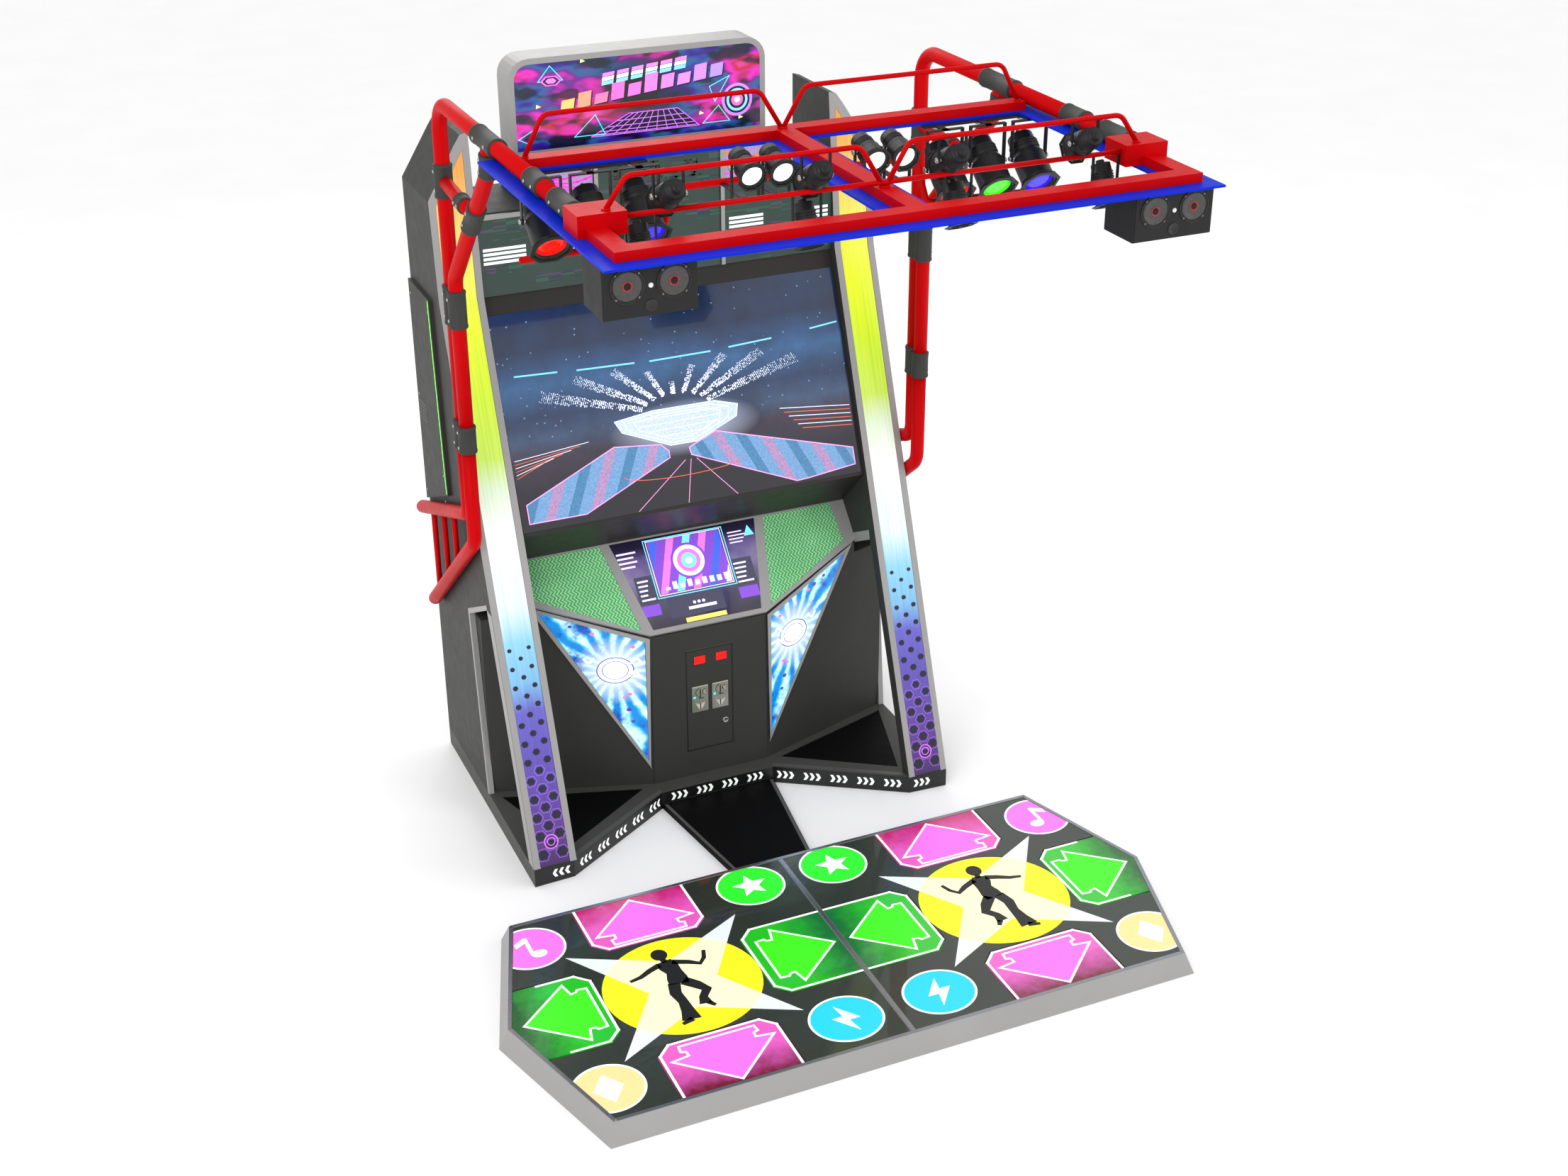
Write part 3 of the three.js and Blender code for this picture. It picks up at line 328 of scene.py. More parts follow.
def marquee_picture():
    """The marquee: magenta, violet and blue clouds around a dark middle."""
    made, tree, shader, place = start("marquee_picture")
    x, _, z = axes(tree, place)
    slant = stretched(tree, place, (3.2, 1, 7.5), turn=(0, 0.7, 0))
    cloud = noise(tree, slant, 1.1, 3, 0.5)
    colour = ramp(tree, cloud, [(0.36, (6, 5, 24)), (0.43, (50, 24, 150)), (0.47, (18, 96, 150)),
                                (0.52, (104, 16, 140)), (0.58, (236, 30, 190)), (0.65, (190, 14, 50)),
                                (0.72, (255, 90, 210))])
    across = maths(tree, "DIVIDE", x, 0.19)
    rise = maths(tree, "DIVIDE", maths(tree, "SUBTRACT", z, 2.27), 0.16)
    reach = reach_of(tree, across, rise)
    dark = ramp(tree, reach, [(0.3, (18, 10, 34)), (1.1, (255, 255, 255))])
    night = ramp(tree, noise(tree, slant, 2.3, 2, 0.5), [(0.42, (16, 8, 34)), (0.5, (255, 255, 255))])
    dark = mix(tree, 0.9, dark, night, "MULTIPLY")
    lit(tree, shader, mix(tree, 1.0, colour, dark, "MULTIPLY"), 0.85, 0.2)
    shader.inputs["Coat Weight"].default_value = 0.3
    return made


def grille_art():
    """Woven speaker cloth: green and pale green threads in a zigzag."""
    made, tree, shader, place = start("grille_cloth")
    x, _, z = axes(tree, place)
    zig = maths(tree, "PINGPONG", times(tree, z, 1000.0), 8.0)
    turn = maths(tree, "MULTIPLY_ADD", x, 1000.0 / 13.0, times(tree, zig, 0.11))
    thread = maths(tree, "FRACT", maths(tree, "ADD", turn, 200.0))
    rows = maths(tree, "FRACT", times(tree, z, 1000.0 / 8.0))
    lift = times(tree, maths(tree, "SINE", times(tree, thread, math.pi)),
                 maths(tree, "SINE", times(tree, rows, math.pi)))
    cloth = ramp(tree, thread, [(0.0, (58, 168, 88)), (0.42, (92, 206, 118)), (0.60, (170, 232, 172)),
                                (0.78, (214, 246, 212)), (1.0, (66, 176, 98))])
    shade = ramp(tree, noise(tree, place, 6, 4), [(0.3, (205, 220, 210)), (0.7, (255, 255, 255))])
    tree.links.new(mix(tree, 1.0, cloth, shade, "MULTIPLY"), shader.inputs["Base Color"])
    shader.inputs["Roughness"].default_value = 0.8
    bump(tree, shader, lift, 0.7, 0.0012)
    return made


def facet_art():
    """The slanting light panels: rays around a white glow."""
    made, tree, shader, place = start("facet_picture")
    x, _, z = axes(tree, place)
    across = maths(tree, "SUBTRACT", maths(tree, "ABSOLUTE", x), 0.318)
    rise = maths(tree, "SUBTRACT", z, 0.513)
    around = maths(tree, "ARCTAN2", rise, across)
    reach = reach_of(tree, across, rise)
    swirl = times(tree, noise(tree, place, 9, 3, 0.6), 7.0)
    rays = maths(tree, "SINE", maths(tree, "MULTIPLY_ADD", around, 19.0, swirl))
    blue = ramp(tree, maths(tree, "MULTIPLY_ADD", rays, 0.5, 0.5),
                [(0.2, (20, 142, 222)), (0.5, (70, 204, 246)), (0.85, (222, 250, 255))])
    fog = noise(tree, place, 17, 5, 0.7)
    deep = ramp(tree, fog, [(0.36, (64, 92, 196)), (0.46, (176, 226, 250)), (0.6, (255, 255, 255))])
    body = mix(tree, 0.85, blue, deep, "MULTIPLY")
    halo = ramp(tree, maths(tree, "DIVIDE", reach, 0.13),
                [(0.25, (1, 1, 1, 1)), (0.55, (0.55, 0.55, 0.55, 1)), (1.0, (0, 0, 0, 1))])
    lit(tree, shader, mix(tree, halo, body, linear(240, 252, 255)), 0.9, 0.25)
    return made


def tile_art(name, axis, near, far, inner, outer):
    """A lit arrow tile whose colour deepens from `near` to `far` along one axis."""
    made, tree, shader, place = start(name)
    along = axes(tree, place)["xy".index(axis)]
    if axis == "x":
        along = maths(tree, "ABSOLUTE", along)
    fade = node(tree, "MapRange", {"Value": along, "From Min": near, "From Max": far}).outputs[0]
    wave = maths(tree, "MULTIPLY_ADD", noise(tree, place, 22, 5, 0.65), 0.5, -0.25)
    colour = ramp(tree, maths(tree, "ADD", fade, wave), [(0.0, inner), (0.45, inner), (1.0, outer)])
    lit(tree, shader, colour, 0.35, 0.25, 0.75)
    shader.inputs["Coat Weight"].default_value = 0.5
    bump(tree, shader, noise(tree, place, 500, 2), 0.08, 0.0004)
    return made


def sheet_art():
    """The printed deck sheet under its clear cover."""
    made, tree, shader, place = start("deck_print")
    tone = maths(tree, "MULTIPLY_ADD", noise(tree, place, 60, 5), 0.5, maths(
        tree, "MULTIPLY", noise(tree, place, 4, 4), 0.5))
    tree.links.new(varied(tree, linear(40, 49, 38), tone, 0.22), shader.inputs["Base Color"])
    shader.inputs["Roughness"].default_value = 0.3
    shader.inputs["Coat Weight"].default_value = 0.4
    bump(tree, shader, noise(tree, place, 420, 2), 0.1, 0.0004)
    return made


def lens_glass(name, colour, glow):
    """A pressed lamp lens: small cells over a lit colour."""
    made, tree, shader, place = start(name)
    cells = node(tree, "TexVoronoi", {"Vector": place, "Scale": 140.0}).outputs["Distance"]
    tone = varied(tree, linear(*colour), cells, 0.15)
    tree.links.new(tone, shader.inputs["Base Color"])
    tree.links.new(tone, shader.inputs["Emission Color"])
    shader.inputs["Emission Strength"].default_value = glow
    shader.inputs["Roughness"].default_value = 0.1
    bump(tree, shader, cells, 0.3, 0.001)
    return made


# ------------------------------------------------------------------ mesh helpers
class Builder:
    """Collects closed bodies into one mesh, each with its material."""

    def __init__(self):
        self.mesh = bmesh.new()
        self.paints = []

    def index(self, material):
        if material not in self.paints:
            self.paints.append(material)
        return self.paints.index(material)

    def faces(self, rings, material, smooth=False):
        """Joins rings of points into a skin and closes its ends."""
        number = self.index(material)
        rows = [[self.mesh.verts.new(p) for p in ring] for ring in rings]
        made = []
        for low, high in zip(rows, rows[1:]):
            for i in range(len(low)):
                j = (i + 1) % len(low)
                made.append(self.mesh.faces.new((low[i], low[j], high[j], high[i])))
        for face in made:
            face.smooth = smooth
        made.append(self.mesh.faces.new(list(reversed(rows[0]))))
        made.append(self.mesh.faces.new(rows[-1]))
        for face in made:
            face.material_index = number

    def block(self, low, high, material):
        """A box between two corners in foot millimetres."""
        (x0, y0, z0), (x1, y1, z1) = low, high
        plan = rectangle(x0, y0, x1, y1)
        self.faces([[point(x, y, z) for x, y in plan] for z in (z0, z1)], material)

    def tube(self, route, radius, material, sides=20):
        """A round bar along a route of points in metres."""
        rings = []
        side = None
        for i, here in enumerate(route):
            before = route[max(i - 1, 0)]
            after = route[min(i + 1, len(route) - 1)]
            ahead = (after - before).normalized()
            if side is None:
                side = ahead.orthogonal().normalized()
            side = (side - ahead * side.dot(ahead)).normalized()
            other = ahead.cross(side)
            rings.append([here + (side * math.cos(a) + other * math.sin(a)) * radius * MM
                          for a in [math.tau * k / sides for k in range(sides)]])
        self.faces(rings, material, smooth=True)

    def lathe(self, profile, place, along, material, sides=28, smooth=True, turn=0.0):
        """Turns (radius, distance) points about a line; the ends are closed."""
        along = along.normalized()
        side = along.orthogonal().normalized()
        if abs(along.x) < 0.9:
            side = (RIGHT - along * along.x).normalized()
        other = along.cross(side)
        rings = []
        for radius, distance in profile:
            centre = place + along * distance * MM
            rings.append([centre + (side * math.cos(a) + other * math.sin(a)) * max(radius, 0.02) * MM
                          for a in [math.tau * k / sides + turn for k in range(sides)]])
        self.faces(rings, material, smooth=smooth)

    def plate(self, outline, plane, low, high, material):
        """A flat outline on a plane, from `low` to `high` above its surface."""
        origin, u, v, normal = plane
        outline = counter_clockwise(outline)
        self.faces([[origin + (u * a + v * b + normal * d) * MM for a, b in outline]
                    for d in (low, high)], material)

    def panel(self, u0, v0, u1, v1, plane, low, high, material):
        """A flat rectangle between two corners on a plane."""
        self.plate(rectangle(u0, v0, u1, v1), plane, low, high, material)

    def strokes(self, points, width, plane, low, high, material, closed=False):
        """A flat line through points on a plane; a closed one returns to its start."""
        for quad in line(points + points[:1] if closed else points, width):
            self.plate(quad, plane, low, high, material)

    def slab(self, side_outline, x0, x1, material):
        """An outline of (y, z) points, given a thickness from x0 to x1."""
        self.faces([[point(x, y, z) for y, z in side_outline] for x in (x0, x1)], material)

    def finish(self, name, body, bevel=0.0, replaces=(), flip=1):
        """Makes the object, mirrored in X if `flip` is -1, and gives it its body."""
        for vert in self.mesh.verts:
            vert.co.x *= flip
        bmesh.ops.recalc_face_normals(self.mesh, faces=self.mesh.faces)
        data = bpy.data.meshes.new(name)
        self.mesh.to_mesh(data)
        self.mesh.free()
        for material in self.paints:
            data.materials.append(material)
        made = bpy.data.objects.new(name, data)
        bpy.context.collection.objects.link(made)
        if bevel:
            soften(made, bevel)
        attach(made, body)
        if replaces:
            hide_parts(*replaces)
        return made


def soften(obj, width, segments=2):
    """Rounds the sharp edges of an object, by `width` millimetres."""
    edge = obj.modifiers.new("edges", "BEVEL")
    edge.width = width * MM
    edge.segments = segments
    edge.limit_method = "ANGLE"
    edge.angle_limit = math.radians(35)


def rounded(corners, radius, steps=9):
    """A route in metres through corners in foot millimetres, each corner an arc."""
    places = [point(*c) for c in corners]
    route = [places[0]]
    for before, corner, after in zip(places, places[1:], places[2:]):
        back = (before - corner)
        ahead = (after - corner)
        half = back.angle(ahead) / 2
        reach = min(radius * MM / math.tan(half), back.length * 0.48, ahead.length * 0.48)
        bend = reach * math.tan(half)
        middle = corner + (back.normalized() + ahead.normalized()).normalized() * (bend / math.sin(half))
        first = (corner + back.normalized() * reach - middle).normalized()
        last = (corner + ahead.normalized() * reach - middle).normalized()
        route += [middle + first.slerp(last, k / steps) * bend for k in range(steps + 1)]
    return route + [places[-1]]


def circle(x, y, rx, ry=None, steps=40):
    ry = ry or rx
    return [(x + rx * math.cos(math.tau * k / steps), y + ry * math.sin(math.tau * k / steps))
            for k in range(steps)]


def counter_clockwise(outline):
    """The outline, turned round if it runs clockwise."""
    area = sum(a[0] * b[1] - b[0] * a[1] for a, b in zip(outline, outline[1:] + outline[:1]))
    return outline if area >= 0 else outline[::-1]


def clipped(outline, field):
    """The part of an outline inside a convex, counter-clockwise field."""
    for a, b in zip(field, field[1:] + field[:1]):
        kept = []
        side = [(b[0] - a[0]) * (p[1] - a[1]) - (b[1] - a[1]) * (p[0] - a[0]) for p in outline]
        for i, p in enumerate(outline):
            q, s, t = outline[i - 1], side[i], side[i - 1]
            if (s >= 0) != (t >= 0):
                share = t / (t - s)
                kept.append((q[0] + (p[0] - q[0]) * share, q[1] + (p[1] - q[1]) * share))
            if s >= 0:
                kept.append(p)
        outline = kept
        if not outline:
            return []
    return outline


def line(points, width):
    """Quads along a line of points, as outlines of the given width."""
    quads = []
    for (x0, y0), (x1, y1) in zip(points, points[1:]):
        length = math.hypot(x1 - x0, y1 - y0)
        dx, dy = (x1 - x0) / length * width / 2, (y1 - y0) / length * width / 2
        quads.append([(x0 - dx - dy, y0 - dy + dx), (x0 - dx + dy, y0 - dy - dx),
                      (x1 + dx + dy, y1 + dy - dx), (x1 + dx - dy, y1 + dy + dx)])
    return quads


def grown(outline, amount):
    """An outline moved outwards by `amount`; corners stay sharp."""
    points = counter_clockwise(outline)
    moved = []
    for i, p in enumerate(points):
        before, after = points[i - 1], points[(i + 1) % len(points)]
        first = Vector((p[0] - before[0], p[1] - before[1])).normalized()
        last = Vector((after[0] - p[0], after[1] - p[1])).normalized()
        out = Vector((first.y + last.y, -first.x - last.x))
        out = out / max(out.length_squared / 2, 0.35)
        moved.append((p[0] + out.x * amount, p[1] + out.y * amount))
    return moved


def rectangle(u0, v0, u1, v1):
    return [(u0, v0), (u1, v0), (u1, v1), (u0, v1)]


def mirrored(outline):
    return [(-a, b) for a, b in outline]


# ------------------------------------------------------------------ palette
def make_palette():
    return {
        "charcoal": paint("charcoal_powder_coat", (54, 54, 52), 0.55, shine=0.2),
        "black": paint("plinth_satin_black", (6, 6, 7), 0.6, shine=0.1),
        "plinth": paint("plinth_grey_coat", (70, 70, 68), 0.5),
        "surround": paint("screen_surround_black", (44, 42, 40), 0.45),
        "trim": paint("trim_grey_paint", (158, 157, 156), 0.42, 0.1, spread=0.05),
        "deck": paint("deck_grey_paint", (158, 157, 156), 0.45, 0.1, spread=0.05),
        "red": paint("truss_red_gloss", (196, 3, 8), 0.42, grain=300, depth=0.12, shine=0.05),
        "blue": paint("board_blue_gloss", (12, 44, 200), 0.42, grain=300, depth=0.12, shine=0.04),
        "sleeve": paint("sleeve_dark_rubber", (56, 57, 55), 0.6),
        "lamp": paint("lamp_black_paint", (36, 36, 36), 0.42, 0.3),
        "speaker": paint("speaker_black_vinyl", (31, 31, 31), 0.6, grain=500, depth=0.6),
        "cone": paint("speaker_cone_rubber", (20, 20, 21), 0.5),
        "steel": brushed("brushed_steel", (176, 174, 168)),
        "rim": brushed("rim_bright_metal", (150, 154, 160), 0.22, (300, 6, 6)),
        "inner": brushed("galvanised_sheet", (128, 132, 134), 0.45, (30, 30, 30)),
        # White print with a painted glow: it gives off a little light, though print is no lamp.
        "white": ink("print_white", (246, 250, 246), 0.35),
        "red_ink": ink("counter_red_light", (255, 0, 0), 0.9),
        "cyan_ink": ink("window_cyan_light", (60, 225, 230), 1.0),
        # Black print; the same ink also stands for painted shade in the coin slot, round the door gap and
        # under the coin guide.
        "dark": ink("print_black_and_painted_shade", (14, 15, 14), 0.0, 0.4),
        "edge": paint("edge_mid_grey", (92, 92, 90), 0.4, 0.2),
    }


def set_material(node_name, material, bevel=0.0):
    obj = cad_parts[node_name]
    if obj.material_slots:
        for place in obj.material_slots:
            place.material = material
    else:
        obj.data.materials.append(material)
    if bevel:
        soften(obj, bevel)


# ------------------------------------------------------------------ main places of the cabinet
PILLAR_IN, PILLAR_OUT = 592, 733             # inner and outer faces of a pillar
FOOT_Z = 65                                  # top of the plinth
BEND = (629, 1738)                           # (y, z) of the bend in the pillar's front
HEAD = (685, 2235)                           # (y, z) of the pillar's top front corner
WAIST_Z = 830                                # where the leg leaves the wall behind it
PLINTH_NOTCH = (202, 259)                    # (x, y) of the notch's corner in the plinth
DOOR_Y = 319                                 # front of the coin door
ENTRY_Y = 315                                # front of the coin entries
SLOT_Z = 382                                 # middle of the coin slots
BACK_Y = 958                                 # the cabinet's back


# ------------------------------------------------------------------ planes for printed art
def sloping_plane(low, high):
    """A plane rising from (y, z) low to (y, z) high, with u along X and v up the slope."""
    rise = Vector((0, high[0] - low[0], high[1] - low[1])).normalized()
    return point(0, *low), RIGHT, rise, RIGHT.cross(rise)


def level_plane(z):
    """A level plane, with u to the right and v to the back."""
    return point(0, 0, z), RIGHT, BACK, UP


def front_plane(y):
    """An upright plane that faces the player, with u to the right and v up."""
    return point(0, y, 0), RIGHT, UP, AHEAD


def rear_plane(y):
    """An upright plane that faces away from the player, with u to the left and v up."""
    return point(0, y, 0), -RIGHT, UP, BACK


DECK_PLANE = level_plane(62.2)
TILE_PLANE = level_plane(62.6)
SCREEN_PLANE = sloping_plane((384, 1031), (638, 1671))
FASCIA_PLANE = sloping_plane((310, 635), (541, 875))
DOOR_PLANE = front_plane(DOOR_Y)
POSTER_PLANE = front_plane(655)
MARQUEE_PLANE = front_plane(803)


# ------------------------------------------------------------------ stage deck
PAD_X, PAD_Y = 516, -718
DECK_HALF = [(8.5, -1181.5), (889, -1181.5), (1029, -710), (882.5, -258.5), (8.5, -258.5)]
ARROW_LONG = [(444, 0), (310, 146), (303, 97), (279, 99), (275, 113), (257, 111)]
ARROW_SIDE = [(482, 0), (334, 126), (323, 80), (302, 83), (296, 92), (274, 90)]


def arrow_outline(shape, dx, dy, shift=0):
    """An arrow in the right half of the deck, pointing along (dx, dy)."""
    both = shape + [(a, -b) for a, b in reversed(shape[1:])]
    return [(PAD_X + dx * (a + shift) - dy * b, PAD_Y + dy * (a + shift) + dx * b) for a, b in both]


def tile_border(dx, dy, half, far):
    """The tile's own outline, chamfered at its two inner corners."""
    inner, corner = 241, 38
    spots = [(far, -half), (inner + corner, -half), (inner, -half + corner),
             (inner, half - corner), (inner + corner, half), (far, half)]
    return [(PAD_X + dx * a - dy * b, PAD_Y + dy * a + dx * b) for a, b in spots]


def make_tiles(paints):
    kinds = {
        "back": (0, 1, ARROW_LONG, 176, 458, 0, "y", (-0.352, -0.13), (236, 92, 196), (196, 0, 104)),
        "front": (0, -1, ARROW_LONG, 176, 462, 6, "y", (-0.83, -1.05), (238, 96, 200), (112, 0, 34)),
        "outer": (1, 0, ARROW_SIDE, 159, 392, -8, "x", (0.76, 1.0), (28, 196, 24), (4, 92, 28)),
        "inner": (-1, 0, ARROW_SIDE, 159, 507, 2, "x", (0.28, 0.02), (28, 196, 24), (6, 112, 48)),
    }
    fills = {"y": ink("arrow_pink_light", (246, 104, 230), 0.45),
             "x": ink("arrow_green_light", (54, 232, 8), 0.4)}
    for kind, (dx, dy, shape, half, far, shift, axis, (near, end), inner, outer) in kinds.items():
        base = tile_art(f"tile_{kind}_print", axis, near, end, inner, outer)
        arrow = arrow_outline(shape, dx, dy, shift)
        border = tile_border(dx, dy, half, far)
        for side, sign in SIDES.items():
            node_name = f"arrow_tile_{kind}_{side}"
            set_material(node_name, base, 1.2)
            turn = list if sign > 0 else mirrored
            made = Builder()
            made.plate(turn(grown(arrow, 7)), TILE_PLANE, 0.0, 0.25, paints["white"])
            made.plate(turn(arrow), TILE_PLANE, 0.3, 0.45, fills[axis])
            for quad in line(border, 8):
                made.plate(turn(quad), TILE_PLANE, 0.0, 0.25, paints["white"])
            made.finish(f"arrow_print_{kind}_{side}", node_name)


def limb(spots):
    """A limb as an outline around (x, y, half-width) spots."""
    left, right = [], []
    for i, (x, y, w) in enumerate(spots):
        x0, y0, _ = spots[max(i - 1, 0)]
        x1, y1, _ = spots[min(i + 1, len(spots) - 1)]
        length = math.hypot(x1 - x0, y1 - y0)
        nx, ny = -(y1 - y0) / length, (x1 - x0) / length
        left.append((x + nx * w, y + ny * w))
        right.append((x - nx * w, y - ny * w))
    return left + right[::-1]


def dancer():
    """A plain pictogram of somebody dancing, around the middle of a half."""
    return [
        circle(14, 158, 25, 27, 24),
        limb([(12, 134, 9), (10, 118, 10)]),
        limb([(12, 124, 22), (8, 98, 31), (2, 66, 24), (4, 34, 31), (8, 8, 30)]),
        limb([(30, 112, 11), (66, 98, 10), (100, 80, 8), (136, 72, 6)]),
        limb([(-10, 112, 11), (-54, 92, 10), (-84, 72, 8), (-104, 94, 7), (-116, 128, 6)]),
        limb([(22, 14, 19), (34, -30, 18), (28, -74, 15), (30, -116, 20), (34, -158, 29)]),
        limb([(30, -156, 11), (66, -168, 6)]),
        limb([(-8, 16, 19), (-38, -18, 18), (-56, -48, 16), (-34, -76, 13), (-30, -108, 20)]),
        limb([(-38, -104, 10), (-52, -126, 6)]),
    ]


def star_outline():
    """Four long points towards the corners of the half."""
    tips = [(-272, 254), (272, 258), (272, -252), (-272, -250)]
    waists = [(0, 118), (104, 0), (0, -112), (-108, 0)]
    return [p for pair in zip(tips, waists) for p in pair]


def icon(kind, x, y):
    """A plain white mark for a round spot, as a list of outlines."""
    if kind == "star":
        spots = [((58 if k % 2 == 0 else 25) * math.sin(math.pi * k / 5),
                  (58 if k % 2 == 0 else 25) * math.cos(math.pi * k / 5)) for k in range(10)]
        return [[(x + a, y + b) for a, b in spots]]
    if kind == "note":
        return [[(x + a, y + b) for a, b in circle(-18, -34, 24, 18, 20)],
                [(x + a, y + b) for a, b in rectangle(-4, -34, 8, 54)],
                [(x + a, y + b) for a, b in [(8, 54), (40, 34), (40, 12), (8, 30)]]]
    if kind == "bolt":
        return [[(x + a, y + b) for a, b in [(14, 62), (-40, -8), (-6, -8), (-18, -62), (40, 12), (6, 12)]]]
    return [[(x + a, y + b) for a, b in [(0, 60), (44, 0), (0, -60), (-44, 0)]]]


def make_deck(paints):
    print_paint = sheet_art()
    set_material("deck_tray", paints["deck"], 2.0)
    # The deck print colours below carry a painted glow: they shine a little, though the printed sheet is no
    # lamp.
    yellow = ink("disc_yellow", (253, 238, 20), 0.35, spread=0.12)
    pale = ink("star_pale_yellow", (250, 248, 190), 0.35)
    grey = ink("star_tip_grey", (222, 230, 232), 0.25)
    spots = [("star", 142, -351, 110, 102, ink("spot_green", (40, 226, 40), 0.35)),
             ("note", 868, -378, 108, 102, ink("spot_pink", (240, 110, 216), 0.35)),
             ("bolt", 149, -1057, 112, 101, ink("spot_cyan", (24, 196, 236), 0.35)),
             ("diamond", 866, -1061, 106, 100, ink("spot_peach", (252, 206, 140), 0.35))]
    for side, sign in SIDES.items():
        turn = list if sign > 0 else mirrored
        set_material(f"deck_sheet_{side}", print_paint)
        made = Builder()
        disc = circle(PAD_X, PAD_Y - 5, 236, 224, 72)
        star = [(PAD_X + a, PAD_Y + b - 5) for a, b in star_outline()]
        made.plate(turn(star), DECK_PLANE, 0.0, 0.2, grey)
        made.plate(turn(disc), DECK_PLANE, 0.25, 0.4, yellow)
        for i in range(0, 8, 2):
            wedge = [star[i - 1], star[i], star[i + 1], (PAD_X, PAD_Y - 5)]
            inside = clipped(disc, counter_clockwise(wedge))
            made.plate(turn(inside), DECK_PLANE, 0.45, 0.55, pale)
        for outline in dancer():
            placed = [(PAD_X + a, PAD_Y + b - 5) for a, b in outline]
            made.plate(turn(placed), DECK_PLANE, 0.6, 0.7, paints["dark"])
        for kind, x, y, rx, ry, colour in spots:
            ring = clipped(circle(x, y, rx, ry, 56), DECK_HALF)
            fill = clipped(circle(x, y, rx - 7, ry - 7, 56), DECK_HALF)
            made.plate(turn(ring), DECK_PLANE, 0.0, 0.2, paints["white"])
            made.plate(turn(fill), DECK_PLANE, 0.25, 0.4, colour)
            for shape in icon(kind, x, y):
                part = clipped(shape, DECK_HALF) if x > 800 else shape
                made.plate(turn(part), DECK_PLANE, 0.45, 0.55, paints["white"])
        made.finish(f"deck_artwork_{side}", "machine")
    make_deck_rim(paints)


def make_deck_rim(paints):
    """Bright edging around the deck top and along its middle."""
    outer = [(893, -246.5), (1041.5, -710), (898.5, -1193.5)]
    inner = [(884, -258), (1030, -710), (890, -1182)]
    made = Builder()
    top = level_plane(63)
    for turn in (list, mirrored):
        for i in range(2):
            made.plate(turn([outer[i], outer[i + 1], inner[i + 1], inner[i]]), top, 0.0, 1.2, paints["rim"])
    for y0, y1 in ((-258, -246.5), (-1193.5, -1182)):
        made.panel(-890, y0, 890, y1, top, 0.0, 1.2, paints["rim"])
    made.panel(-6.5, -1182, 6.5, -258, top, 0.0, 1.6, paints["rim"])
    made.finish("deck_rim_edging", "machine", 0.4)
    feet = Builder()
    for x in (-820, -280, 280, 820):
        for y in (-1080, -380):
            feet.lathe([(30, 0.2), (30, 6), (24, 8), (24, 34)], point(x, y, 0), UP, paints["cone"])
    feet.finish("deck_rubber_feet", "machine")


# ------------------------------------------------------------------ tube frames
TUBE_X = 757                                 # middle of each side's tubes
TUBE_RADIUS = 22
TOP_RAIL_Z = 2418.5
SLEEVES = [((370, 1372), (370, 1465), 27), ((325, 1372), (325, 1459), 27), ((370, 1764), (370, 1885), 27),
           ((325, 1764), (325, 1879), 27), ((370, 2140), (370, 2240), 27), ((118, 2122), (40, 2200), 27),
           ((-96, 2322), (-114, 2388), 27), ((200, 2178), (150, 2174), 24),
           ((-28, TOP_RAIL_Z), (-200, TOP_RAIL_Z), 27), ((-477, TOP_RAIL_Z), (-578, TOP_RAIL_Z), 27),
           ((-667, TOP_RAIL_Z), (-800, TOP_RAIL_Z), 27)]
SCREW_HEAD = [(5, 0), (5, 3), (3.4, 4.2), (1.8, 4.2), (1.8, 2.6)]


def make_tube_frames(paints):
    for side, sign in SIDES.items():
        x = sign * TUBE_X
        bars = Builder()
        upright = rounded([(x, 370, 1372), (x, 370, TOP_RAIL_Z), (x, -814, TOP_RAIL_Z)], 90, 14)
        brace = rounded([(x, 325, 1372), (x, 325, 1915), (x, -100, 2340), (x, -115, TOP_RAIL_Z)], 60)
        for route in (upright, brace):
            bars.tube(route, TUBE_RADIUS, paints["red"], 28)
        bars.tube([point(x, 370, 2190), point(x, 72, 2168)], 19, paints["red"], 24)
        bars.finish(f"frame_tubes_{side}", "machine", replaces=[f"tube_frame_{side}"])
        rings = Builder()
        for (y0, z0), (y1, z1), radius in SLEEVES:
            start_at, end_at = point(x, y0, z0), point(x, y1, z1)
            length = (end_at - start_at).length / MM
            lip = radius + 1.2
            profile = [(radius - 4, 0), (radius, 1.5), (lip, 3), (lip, 9), (radius, 10.5),
                       (radius, length - 10.5), (lip, length - 9), (lip, length - 3), (radius, length - 1.5),
                       (radius - 4, length)]
            rings.lathe(profile, start_at, end_at - start_at, paints["sleeve"], 28)
            across = RIGHT * sign
            middle = (start_at + end_at) / 2 + across * (radius - 1) * MM
            for shift in (-0.28, 0.28):
                spot = middle + (end_at - start_at) * shift
                rings.lathe(SCREW_HEAD, spot, across, paints["steel"], 12)
        rings.finish(f"frame_sleeves_{side}", "machine")
        make_guard(side, x, paints)


